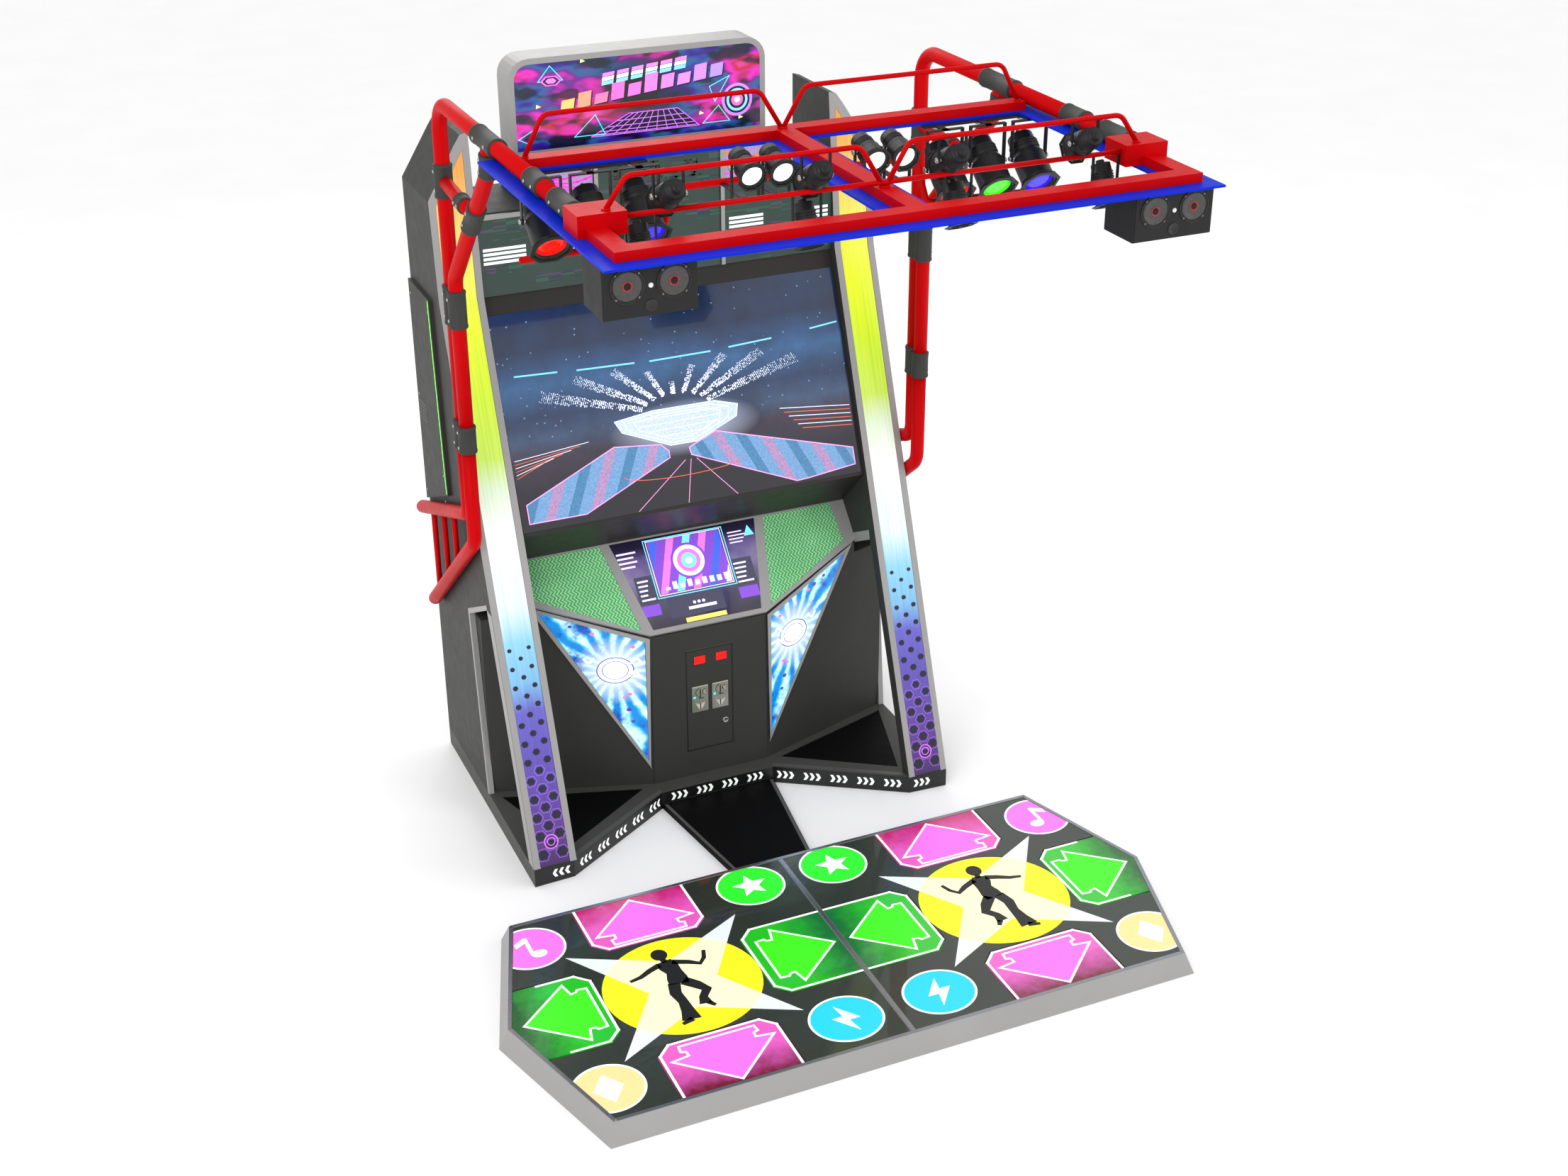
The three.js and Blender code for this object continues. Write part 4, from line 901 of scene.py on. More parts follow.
def make_guard(side, x, paints):
    made = Builder()
    routes = [([(x, 325, 1371.5), (x, 325, 1075), (x, 905, 610)], 70),
              ([(x, 370, 1371.5), (x, 370, 1150), (x, 965, 925)], 60)]
    for corners, bend in routes:
        made.tube(rounded(corners, bend), TUBE_RADIUS, paints["red"], 28)
        end = point(*corners[2])
        out = (end - point(*corners[1])).normalized()
        dome = [(TUBE_RADIUS * math.cos(a), TUBE_RADIUS * math.sin(a) - 0.2)
                for a in [math.pi / 2 * k / 6 for k in range(7)]]
        made.lathe(dome, end, out, paints["red"], 28)
    for y in (560, 690, 820):
        high = 1150 - (y - 370) * 0.378 - 6
        low = 1075 - (y - 325) * 0.8017 + 6
        made.tube([point(x, y, high), point(x, y, low)], 9, paints["red"], 16)
    made.finish(f"guard_rails_{side}", "machine", replaces=[f"side_guard_{side}"])


# ------------------------------------------------------------------ lamps
def swung(direction, degrees):
    """A direction turned about the X axis."""
    return Matrix.Rotation(math.radians(degrees), 3, "X") @ direction


def can_profile(radius, reach, tail):
    """The outside of a can lamp, from its tail (negative) to its mouth."""
    ribs = []
    valley, crest = radius * 0.82, radius * 0.90
    for k in range(3):
        at = -tail * 0.50 + k * tail * 0.11
        ribs += [(valley, at), (crest, at + 1), (crest, at + 3), (valley, at + 4)]
    return [(0, -tail), (radius * 0.30, -tail), (radius * 0.34, -tail + 2), (radius * 0.34, -tail + 7),
            (radius * 0.62, -tail + 9), (radius * 0.78, -tail + radius * 0.3)] + ribs + [
            (radius * 0.86, -tail * 0.10), (radius * 0.97, tail * 0.02), (radius, tail * 0.06),
            (radius, reach - 14), (radius * 1.06, reach - 13), (radius * 1.06, reach - 9),
            (radius, reach - 8), (radius, reach - 2), (radius * 1.10, reach - 1),
            (radius * 1.10, reach + 0.6), (radius * 0.90, reach + 0.6), (radius * 0.88, reach - 7),
            (0, reach - 7)]


def add_can(made, place, aim, radius, reach, tail, paints, lens):
    """A can lamp with a ribbed tail, gel frame, lens and tilt knobs."""
    made.lathe(can_profile(radius, reach, tail), place, aim, paints["lamp"], 32)
    made.lathe([(0, reach - 6.8), (radius * 0.5, reach - 6.2), (radius * 0.87, reach - 6.6),
                (radius * 0.87, reach - 6.9), (0, reach - 6.95)], place, aim, lens, 28)
    turn = math.pi / 8
    frame_profile = [(radius * 1.12, reach + 0.8), (radius * 1.32, reach + 0.8), (radius * 1.32, reach + 3.0),
                     (radius * 1.12, reach + 3.0)]
    add_ring(made, frame_profile, place, aim, paints["lamp"], 8, turn)
    for sign in (-1, 1):
        knob = [(radius * 0.10, radius * 0.8), (radius * 0.10, radius + 4.4)]
        made.lathe(knob, place, RIGHT * sign, paints["steel"], 12)


def add_ring(made, profile, place, along, material, sides, turn):
    """A flat frame: a profile of four corners turned about a line, open in the middle."""
    along = along.normalized()
    side = (RIGHT - along * along.x).normalized()
    other = along.cross(side)
    rows = []
    for k in range(sides):
        a = math.tau * k / sides + turn
        out = side * math.cos(a) + other * math.sin(a)
        rows.append([made.mesh.verts.new(place + (along * d + out * r) * MM) for r, d in profile])
    number = made.index(material)
    for k in range(sides):
        low, high = rows[k], rows[(k + 1) % sides]
        for i in range(4):
            j = (i + 1) % 4
            face = made.mesh.faces.new((low[i], low[j], high[j], high[i]))
            face.material_index = number


def add_yoke(made, x, y, z, inner, height, paints, bar=4, width=14):
    """A U of flat bar with its pivot knobs; a negative height stands it below the lamp."""
    up = 1 if height > 0 else -1
    half = width / 2
    foot = -8 * up
    for sign in (-1, 1):
        a, b = sorted((x + sign * inner, x + sign * (inner + bar)))
        low, high = sorted((z + foot, z + height))
        made.block((a, y - half, low), (b, y + half, high), paints["lamp"])
        out = RIGHT * sign
        made.lathe([(7, 0), (7, 5), (5.5, 6.5), (2.5, 6.5), (2.5, 4)], point(x + sign * (inner + bar), y, z),
                   out, paints["steel"], 14)
    low, high = sorted((z + height, z + height - bar * up))
    made.block((x - inner, y - half, low), (x + inner, y + half, high), paints["lamp"])


BIG_ROWS = {"inner": 441, "middle": 572.5, "outer": 704}
LAMP_PIVOT = (-375, 2279)                    # (y, z) of the tilt axis
LAMP_AIM = 40                                # degrees the big lamps point down at rest
BEAM_Z = 2384.7                              # underside of the truss board
LENS_ORDER = {"left": ("outer", "middle", "inner"), "right": ("inner", "middle", "outer")}


def make_big_lamps(paints, lenses):
    for side, sign in SIDES.items():
        rack = Builder()
        rack.block((sign * 401 if sign > 0 else -744, -332, BEAM_Z - 6),
                   (744 if sign > 0 else -401, -306, BEAM_Z), paints["lamp"])
        for name, x in BIG_ROWS.items():
            add_yoke(rack, sign * x, LAMP_PIVOT[0], LAMP_PIVOT[1], 51, BEAM_Z - LAMP_PIVOT[1], paints)
            rack.block((sign * x - 10, -382, BEAM_Z - 4), (sign * x + 10, -331.5, BEAM_Z), paints["lamp"])
            rack.lathe([(9, 0), (9, 5), (6, 7)], point(sign * x, -319, BEAM_Z - 6), -UP, paints["steel"], 6,
                       smooth=False)
        rack.finish(f"lamp_rack_{side}", "machine", replaces=[f"lamp_yokes_{side}"])
        for name, lens in zip(LENS_ORDER[side], lenses):
            made = Builder()
            place = point(sign * BIG_ROWS[name], *LAMP_PIVOT)
            add_can(made, place, swung(AHEAD, LAMP_AIM), 46, 90, 80, paints, lens)
            behind = swung(BACK, LAMP_AIM)
            made.lathe([(5, 0), (5, 8), (3.5, 10)], place + behind * 79 * MM, behind, paints["cone"], 12)
            made.finish(f"can_lamp_{side}_{name}", f"stage_lamp_{side}_{name}",
                        replaces=[f"stage_lamp_{side}_{name}"])


def small_lamp(made, x, y, z, tilt, paints, lens):
    """A small can lamp; at tilt 0 it shines forward."""
    add_can(made, point(x, y, z), swung(AHEAD, tilt), 32, 52, 62, paints, lens)


HOOP_TOP = 2520
INNER_FOOT = 2415.3


def hoop_arch(made, sign, y, outer_foot, paints):
    """One thin hoop standing on the truss beams; its legs lean as if they started 12 mm inside the beams."""
    sunk = 12
    inner_x = -4 + 70 * sunk / (HOOP_TOP - INNER_FOOT + sunk)
    outer_x = 720 - 60 * sunk / (HOOP_TOP - outer_foot + sunk)
    corners = [(inner_x, INNER_FOOT), (66, HOOP_TOP), (660, HOOP_TOP), (outer_x, outer_foot)]
    made.tube(rounded([(sign * x, y, z) for x, z in corners], 34), 6.5, paints["red"], 18)
    for x, z in (corners[0], corners[3]):
        made.lathe([(11, 0), (11, 2), (9, 3.2), (6.6, 3.2)], point(sign * x, y, z), UP, paints["red"], 20)


def make_hoops(paints, lens):
    front = Builder()
    back = Builder()
    lamps = Builder()
    y = -890
    for sign in (-1, 1):
        hoop_arch(front, sign, y, 2446.3, paints)
        hoop_arch(back, sign, -284, INNER_FOOT, paints)
        for x in (183, 557):
            small_lamp(lamps, sign * x, y, 2462, 150, paints, lens)
            add_yoke(lamps, sign * x, y, 2462, 35, 58, paints, 4, 10)
            low_x = x + (21 if x < 300 else 70)
            small_lamp(lamps, sign * low_x, y + 4, 2345, 62, paints, lens)
            add_yoke(lamps, sign * low_x, y + 4, 2345, 35, 81, paints, 4, 8)
    front.tube([point(-667.7, y, 2426), point(667.7, y, 2426)], 6.5, paints["red"], 18)
    front.finish("front_hoops", "machine", replaces=["front_hoop_rail"])
    back.finish("rear_hoops", "machine", replaces=["rear_hoop_rail"])
    lamps.finish("front_spot_lamps", "machine")


def make_lamp_bar(paints, lens):
    bar = Builder()
    lamps = Builder()
    y = -380
    bar.tube(rounded([(-768, y, 2180), (-388, y, 2190), (-350, y, 2318), (350, y, 2318), (388, y, 2190),
                      (768, y, 2180)], 26), 9, paints["red"], 20)
    for sign in (-1, 1):
        a, b = sorted((sign * 38, sign * 54))
        bar.block((a, y - 4, 2314), (b, y + 4, BEAM_Z), paints["red"])
        bar.lathe([(9, 0), (8, 3), (3, 5)], point(sign * 768, y, 2180), RIGHT * sign, paints["red"], 20)
        for x in (130, 215):
            small_lamp(lamps, sign * x, -535, 2400, 18, paints, lens)
            add_yoke(lamps, sign * x, -535, 2400, 35, -86, paints, 4, 12)
            lamps.block((sign * x - 9, -542, 2314), (sign * x + 9, y, 2318), paints["lamp"])
    bar.finish("rear_lamp_rail", "machine", replaces=["rear_lamp_bar"])
    lamps.finish("rear_spot_lamps", "machine")


# ------------------------------------------------------------------ speakers
def make_speakers(paints):
    low_x, high_x, front, back, low_z, top = 575, 804, -1115, -977, 2259, BEAM_Z
    middle = (low_x + high_x) / 2
    centre_z = (low_z + 2385) / 2 + 14
    # The red ring carries a faint painted glow, though it is no lamp.
    red_ring = ink("driver_red_ring", (168, 22, 30), 0.05)
    grey_ring = ink("driver_grey_cone", (64, 62, 60), 0.0, spread=0.25)
    dome = ink("tweeter_white_dome", (226, 226, 222), 0.0, 0.3)
    for side, sign in SIDES.items():
        a, b = sorted((sign * low_x, sign * high_x))
        box = Builder()
        box.block((a, front + 6, low_z), (b, back, top), paints["speaker"])
        box.finish(f"speaker_case_{side}", "machine", 3, replaces=[f"speaker_{side}"])
        face = Builder()
        face.block((a + 3, front + 2.2, low_z + 3), (b - 3, front + 6.5, top - 3), paints["speaker"])
        face.finish(f"speaker_baffle_{side}", "machine", 0.6)
        face = Builder()
        baffle = front_plane(front + 2.2)
        x = sign * middle
        for shift in (-56, 56):
            spot = point(x + shift, front + 2.2, centre_z)
            face.lathe([(43, -0.5), (43, 1.2), (41, 2.2), (37.5, 2.2), (36, 0.5), (0, 0.5)], spot, AHEAD,
                       paints["cone"], 40)
            cone = [(35, 0.4), (35, 1.4), (33, 2.1), (30, 2.1), (28, 1.4), (16, 0.9), (0, 0.9)]
            face.lathe(cone, spot, AHEAD, grey_ring, 40)
            for radius in (37, 41):
                rim = circle(x + shift, centre_z, radius, None, 40)
                face.strokes(rim, 1.0, baffle, 1.8, 2.7, grey_ring, closed=True)
            face.lathe([(12, 0.8), (12, 1.6), (10.8, 1.9), (9.6, 1.6), (0, 1.6)], spot, AHEAD, red_ring, 32)
            face.lathe([(9, 1.5), (8.2, 2.4), (5, 3.0), (0, 3.0)], spot, AHEAD, paints["cone"], 24)
            for k in range(4):
                a4 = math.pi / 4 + k * math.pi / 2
                screw = spot + Vector((math.cos(a4), 0, math.sin(a4))) * 40 * MM
                face.lathe([(2.2, 1), (2.2, 2.4), (1, 2.4), (1, 1.8)], screw, AHEAD, paints["steel"], 10)
        face.lathe([(6, -0.3), (6, 0.6), (4.2, 1.8), (0, 2.2)], point(x, front + 2.2, centre_z - 4), AHEAD,
                   dome, 24)
        face.lathe([(15, -0.5), (15, 1.4), (12.5, 1.4), (11, 0.4), (0, 0.4)],
                   point(x, front + 2.2, low_z + 26), AHEAD, paints["dark"], 28)
        face.finish(f"speaker_drivers_{side}", "machine")


# ------------------------------------------------------------------ coin door
def make_coin_door(paints):
    for node_name in ("coin_cabinet", "coin_door"):
        set_material(node_name, paints["charcoal"], 1.0)
    door = Builder()
    for x0, x1 in ((-53, -15), (24.5, 62)):
        door.panel(x0 - 2, 486, x1 + 2, 518, DOOR_PLANE, 0, 0.4, paints["dark"])
        door.panel(x0, 488, x1, 516, DOOR_PLANE, 0.5, 1.0, paints["red_ink"])
    door.finish("counter_windows", "coin_door")
    gap = Builder()
    # Painted shadow: dark strokes round the door where its gap lies in shade.
    around = rectangle(-83, 161.5, 83, 540.5)
    gap.strokes(around, 2.6, DOOR_PLANE, 0.95, 1.25, paints["dark"], closed=True)
    # Painted highlight: a lighter grey line along the lit top edge above the door.
    gap.strokes([(-84, 543.5), (84, 543.5)], 2.4, DOOR_PLANE, 0.95, 1.5, paints["plinth"])
    gap.finish("door_painted_shadow_and_highlight", "machine", 0.1)
    for side, sign in SIDES.items():
        make_mech(side, sign * 36, paints)
        button = Builder()
        x = sign * 36 + 17
        cap = [(8.4, -18), (8.4, 4), (7.6, 5.6), (5.8, 6.0), (4.6, 5.3), (0, 5.0)]
        button.lathe(cap, point(x, ENTRY_Y, SLOT_Z), AHEAD, paints["steel"], 32)
        button.finish(f"reject_cap_{side}", f"reject_button_{side}",
                      replaces=[f"reject_button_{side}"])
    lock = Builder()
    lock.lathe([(11, -30), (11, 2.6), (9.6, 4), (7, 4), (6.6, 3.2), (0, 3.2)], point(55, DOOR_Y, 253), AHEAD,
               paints["steel"], 32)
    lock.block((53.9, 315.0, 248), (56.1, 315.85, 258), paints["dark"])
    lock.block((48, 340, 247), (62, 345, 285), paints["steel"])
    lock.finish("cam_lock", "door_lock", replaces=["door_lock"])


def make_mech(side, x, paints):
    """The steel coin entry: plate, slot with its curved guide, lit window and return cup."""
    set_material(f"coin_mech_{side}", paints["steel"], 1.2)
    front = front_plane(ENTRY_Y)
    made = Builder()
    # Pale steel ink with painted highlight: the bright top edge of the entry plate and the return cup wings,
    # their own steel tone lightened as if lit.
    painted_highlight_steel = ink("cup_steel_painted_highlight", (200, 192, 184), 0.0, 0.3)
    turns = [math.radians(98 + 16.4 * k) for k in range(11)]
    # The curved guide, with a painted shadow: a dark rim just outside the raised steel guide.
    for radius, low, high, colour in ((16.4, -0.2, 0.8, paints["dark"]), (15, 0.9, 1.8, paints["steel"])):
        guide = [(x + radius * math.cos(a), SLOT_Z + radius * math.sin(a)) for a in turns]
        made.plate(guide, front, low, high, colour)
    # Painted highlight along the top edge of the entry plate.
    made.panel(x - 27.5, 402.6, x + 27.5, 405.4, front, -0.2, 0.8, painted_highlight_steel)
    flap = [(x + 2.4, 367.5), (x + 6.4, 369), (x + 6.4, 395), (x + 2.4, 396.5)]
    made.plate(flap, front, -0.2, 1.8, paints["steel"])
    made.panel(x - 23.5, 361, x - 16.5, 368, front, -0.2, 0.8,
               paints["cyan_ink"])
    made.panel(x - 6, 358, x + 13, 361, front, -0.2, 0.6, paints["dark"])
    # Painted shade: a dark plate sunk in the coin slot, where its inside lies in shade.
    made.panel(x - 1.9, 360.5, x + 1.9, 391.5, front, -1.6, -0.4, paints["dark"])
    made.panel(x - 21, 315, x + 21, 343.5, front, -0.2, 0.7, paints["steel"])
    # Return cup wings: steel tone with a painted sheen.
    for wing in (-1, 1):
        spots = [(x + wing * 2, 338), (x + wing * 17, 342), (x + wing * 9, 326), (x + wing * 2, 317)]
        made.plate(spots if wing > 0 else spots[::-1], front, 0.6, 3.4, painted_highlight_steel)
    made.panel(x - 1.6, 318, x + 1.6, 340, front, 0.75, 1.1, paints["dark"])
    for sx in (-24, 24):
        for z in (313, 401):
            made.lathe([(2.4, -0.2), (2.4, 1.0), (1.2, 1.0), (1.2, 0.4)], point(x + sx, ENTRY_Y, z),
                       AHEAD, paints["steel"], 12)
    made.finish(f"coin_entry_face_{side}", "coin_door", 0.3)


# ------------------------------------------------------------------ cabinet
def on_pillar(z):
    """Front of the leaning pillar at a height."""
    return (z - FOOT_Z) * BEND[0] / (BEND[1] - FOOT_Z)


def make_cabinet(paints, art):
    for name in ("side_frame_left", "side_frame_right", "cabinet_core"):
        set_material(name, paints["charcoal"], 1.5)
    set_material("rear_door", paints["charcoal"], 1.0)
    set_material("base_plinth", paints["plinth"], 1.0)
    set_material("floor_duct", paints["black"], 1.0)
    set_material("screen_surround", paints["surround"], 1.0)
    set_material("main_screen", art["screen"])
    set_material("touch_monitor", art["monitor"])
    set_material("poster_panel", art["poster"])
    set_material("marquee_box", paints["trim"], 4.0)
    set_material("marquee_face", art["marquee"])
    set_material("control_fascia", paints["trim"], 1.0)
    for side in SIDES:
        set_material(f"light_strip_{side}", art["strip"], 0.6)
        set_material(f"grille_{side}", art["grille"])
        set_material(f"facet_light_{side}", art["facet"])
    for name in ("cash_box", "game_computer", "power_supply"):
        set_material(name, paints["inner"], 0.8)
    set_material("truss_frame", paints["red"], 2.0)
    set_material("fascia_plate", paints["blue"], 0.8)


# ------------------------------------------------------------------ pillar trims and side details
PILLAR_LOW = sloping_plane((0, FOOT_Z + 0.3), BEND)
PILLAR_HIGH = sloping_plane(BEND, HEAD)
STRIP_PLANE = sloping_plane((0.8, 69.3), (629.8, 1738))
LOW_LENGTH = math.hypot(BEND[0], BEND[1] - FOOT_Z - 0.3)
STRIP_MIDDLE = 664


def make_pillars(paints):
    dot = ink("strip_dark_dots", (24, 18, 50), 0.0)
    ring = ink("strip_violet_lines", (150, 110, 220), 0.5)
    mark = ink("strip_ring_mark", (206, 120, 226), 0.6)
    led = ink("edge_green_light", (110, 240, 60), 1.0)
    for side, sign in SIDES.items():
        made = Builder()
        for x0, x1 in ((PILLAR_IN, 613.4), (711.6, PILLAR_OUT)):
            made.panel(x0, 0.5, x1, LOW_LENGTH, PILLAR_LOW, 0.0, 1.2, paints["trim"])
        outer_edge = [(711.6, 0), (733, 0), (733, 309), (711.6, 291)]
        inner_edge = [(592, 0), (613.4, 0), (613.4, 449), (592, 455)]
        cap = [(711.6, 291), (733, 309), (640, 461), (617, 494),
               (592, 500), (592, 455), (613.4, 449), (623, 436)]
        for outline in (outer_edge, inner_edge, cap):
            made.plate(outline, PILLAR_HIGH, 0.0, 1.2, paints["trim"])
        waist_y = on_pillar(WAIST_Z)
        flank = [(2, 66), (waist_y + 1, WAIST_Z), (waist_y + 48, WAIST_Z), (48, 66)]
        made.slab(flank, 733, 734, paints["trim"])
        wall = [(480, 66), (553, 715), (568, 715), (495, 66)]
        made.slab(wall, 716, 734, paints["trim"])
        split_y = waist_y + 48
        head = [(split_y, WAIST_Z), (553, 715), (568, 715), (568, 726), (split_y + 4, 845)]
        made.slab(head, 733, 734, paints["trim"])
        inner = [(split_y - 4, 814), (553, 699), (568, 699), (568, 728), (split_y + 4, 846)]
        made.slab(inner, 590.9, 591.7, paints["trim"])
        under = [(split_y, 828.8), (553, 713.8), (553, 715.1), (split_y, 830.1)]
        made.slab(under, 594, 734, paints["trim"])
        made.finish(f"pillar_trim_{side}", "machine", 0.4, flip=sign)
        made = Builder()
        for column, x in ((0, 633), (1, STRIP_MIDDLE), (0, 696)):
            place = 696 - 30 * column
            while place > 20:
                radius = 7.5 + (696 - place) / 64
                outline = circle(x, place, radius, radius * 0.92, 6)
                made.plate(outline, STRIP_PLANE, 0.03, 0.4, dot)
                if place < 330:
                    hexagon = circle(x, place, radius + 4.5, None, 6)
                    made.strokes(hexagon, 1.2, STRIP_PLANE, 0.03, 0.2, ring, closed=True)
                place -= 60
        for radius, width in ((22, 3.0), (12, 2.4)):
            rim = circle(STRIP_MIDDLE, 74, radius, None, 28)
            made.strokes(rim, width, STRIP_PLANE, 0.45, 0.6, mark, closed=True)
        made.finish(f"strip_dots_{side}", "machine", flip=sign)
        made = Builder()
        run = [(677, 1085), (724, 1716), (729, 1716), (682, 1085)]
        made.slab(run, 745, 745.8, led)
        made.finish(f"side_led_{side}", "machine", flip=sign)
        made = Builder()
        for k in range(5):
            made.slab(rectangle(850, 1262 + k * 14, 930, 1268 + k * 14), 744.8, 745.6, paints["dark"])
        for y, z in ((700, 1140), (728, 1680), (930, 1680), (930, 1000), (700, 1050), (930, 1340)):
            made.lathe([(4.5, -0.2), (4.5, 1.2), (2.4, 2.0), (2.0, 1.2)], point(745, y, z), RIGHT,
                       paints["steel"], 14)
        made.finish(f"side_vents_{side}", "machine", flip=sign)


# ------------------------------------------------------------------ plinth
def add_chevrons(made, plane, place, low, paints):
    """Three plain white marks side by side."""
    for k in range(3):
        u = place + k * 21
        shape = [(0, 0), (10, 0), (18, 14), (10, 28), (0, 28), (8, 14)]
        made.plate([(u + a, low + b) for a, b in shape], plane, 1.1, 1.4, paints["white"])


def make_plinth(paints):
    """The black band with plain repeated marks along the plinth front, and the dark pockets on its top."""
    corners = [PLINTH_NOTCH, (599, 7), (PILLAR_OUT, 0)]
    for side, sign in SIDES.items():
        made = Builder()
        for (x0, y0), (x1, y1) in zip(corners, corners[1:]):
            ahead = Vector((x1 - x0, y1 - y0, 0)).normalized()
            plane = (point(x0, y0, 0), ahead, UP, ahead.cross(UP))
            length = math.hypot(x1 - x0, y1 - y0)
            made.panel(0, 3, length, 62, plane, -0.2, 1.0, paints["dark"])
            place = 14
            while place < length - 70:
                add_chevrons(made, plane, place, 20, paints)
                place += 92
        made.finish(f"plinth_band_{side}", "machine", flip=sign)
        made = Builder()
        floor_plane = level_plane(62.5)
        pocket = [(252, 306), (698, 449), (590, 84)]
        made.plate(pocket, floor_plane, 0.0, 0.6, paints["black"])
        top = level_plane(65)
        rim = [(202, 262), (599, 11), (716, 4), (716, 22), (604, 28), (250, 252), (206, 274)]
        made.plate(rim, top, 0.0, 1.0, paints["edge"])
        made.finish(f"plinth_pocket_{side}", "machine", flip=sign)
    made = Builder()
    plane = front_plane(PLINTH_NOTCH[1])
    made.panel(-202, 20, 202, 62, plane, -0.2, 1.0, paints["dark"])
    for place in (-170, -78, 14, 106):
        add_chevrons(made, plane, place, 26, paints)
    for sign in (-1, 1):
        top = level_plane(18)
        narrow = [(sign * 198, 250), (sign * 187, 250), (sign * 120, -214), (sign * 130, -214)]
        made.plate(narrow, top, 0.0, 1.2, paints["edge"])
    made.finish("plinth_band_middle", "machine")


# ------------------------------------------------------------------ main screen picture
def make_screen_art():
    bar = ink("screen_cyan_bar", (110, 200, 235), 0.8)
    spark = ink("screen_light_dots", (226, 234, 255), 0.9)
    lane_cyan = ink("screen_lane_cyan", (62, 110, 148), 0.65, spread=0.3)
    lane_pink = ink("screen_lane_pink", (150, 120, 160), 0.65, spread=0.3)
    lane_pale = ink("screen_lane_pale", (98, 136, 176), 0.65, spread=0.3)
    edge = ink("screen_pink_line", (226, 150, 210), 0.8)
    glow = ink("screen_white_glow", (214, 220, 244), 0.8)
    warm = ink("screen_orange_line", (214, 96, 60), 0.7)
    plane = SCREEN_PLANE
    made = Builder()
    for u0, v0, u1, v1 in ((-530, 494, -395, 489), (-327, 485, -140, 480), (-85, 478, 120, 480),
                           (188, 484, 335, 491), (478, 503, 572, 512)):
        made.strokes([(u0, v0), (u1, v1)], 5, plane, 0.05, 0.3, bar)
    rng = random.Random(5)
    for k in range(9):
        turn = math.radians(28 + 15.5 * k)
        ux, uy = math.cos(turn), 0.52 * math.sin(turn)
        near, far = 128, 210 + 330 * abs(math.cos(turn))
        steps = int((far - near) / 7)
        for i in range(steps):
            reach = near + i * 7
            half = 7 + reach * 0.055
            for j in range(int(half / 3.5)):
                if rng.random() < 0.22:
                    continue
                aside = (j * 7 - half + 3.5) + (i % 2) * 3
                u = -25 + ux * reach - uy * aside
                v = 300 + uy * reach + ux * aside * 0.6
                size = (1.0 + rng.random() * 1.5) * (1.5 - 0.8 * i / steps)
                diamond = [(u - size, v), (u, v - size), (u + size, v), (u, v + size)]
                made.plate(diamond, plane, 0.05, 0.25, spark)
    lanes = [[(-250, 228), (-95, 212), (-70, 188), (-70, 166), (-372, 36), (-560, 36), (-560, 96)],
             [(0, 188), (96, 226), (566, 96), (566, 40), (392, 22), (352, 20), (4, 164)]]
    for lane, lean in zip(lanes, (1, -1)):
        made.plate(lane, plane, 0.05, 0.2, lane_pale)
        fan = convex_pieces(counter_clockwise(lane))
        low_u = min(p[0] for p in lane)
        for k in range(9):
            u = low_u - 40 + k * 74
            stripe = [(u, 0), (u + 34, 0), (u + 34 + lean * 110, 240), (u + lean * 110, 240)]
            for piece in fan:
                inside = clipped(stripe, piece)
                if len(inside) > 2:
                    made.plate(inside, plane, 0.25, 0.35, (lane_cyan, lane_pink)[k % 2])
        made.strokes(lane, 3, plane, 0.4, 0.5, edge, closed=True)
    deck = [(-235, 306), (-105, 322), (110, 322), (186, 300), (176, 262), (30, 204), (-60, 204), (-215, 268)]
    made.plate(deck, plane, 0.36, 0.5, ink("screen_platform", (168, 182, 220), 0.8, spread=0.25))
    for inset in (1.0, 0.86, 0.7):
        ring = [(-25 + (u + 25) * inset, 266 + (v - 266) * inset) for u, v in deck]
        made.strokes(ring, 2.2, plane, 0.55, 0.65, glow, closed=True)
    for k in range(4):
        v = 296 - k * 20
        made.strokes([(-190 + k * 34, v), (152 - k * 26, v + 3)], 2.0, plane, 0.7, 0.8, glow)
    turns = [math.pi + math.pi * k / 20 for k in range(21)]
    arc = [(-30 + 200 * math.cos(a), 128 + 26 * math.sin(a)) for a in turns]
    made.strokes(arc, 2, plane, 0.6, 0.7, warm)
    for k in range(6):
        tone = warm if k % 2 else glow
        made.strokes([(330 + k * 14, 262 - k * 15), (575, 236 - k * 13)], 2.2, plane, 0.55, 0.65, tone)
        made.strokes([(-575, 236 - k * 11), (-330 - k * 30, 258 - k * 8)], 1.8, plane, 0.55, 0.65, tone)
    for start_u, end_u in ((-20, -200), (20, 140), (0, -30)):
        made.strokes([(start_u, 150), (end_u, 14)], 1.8, plane, 0.1, 0.2, edge)
    made.finish("screen_artwork", "machine")


def convex_pieces(field):
    """Cuts an outline into triangles that fan from its middle."""
    u = sum(p[0] for p in field) / len(field)
    v = sum(p[1] for p in field) / len(field)
    return [[(u, v), a, b] for a, b in zip(field, field[1:] + field[:1])]


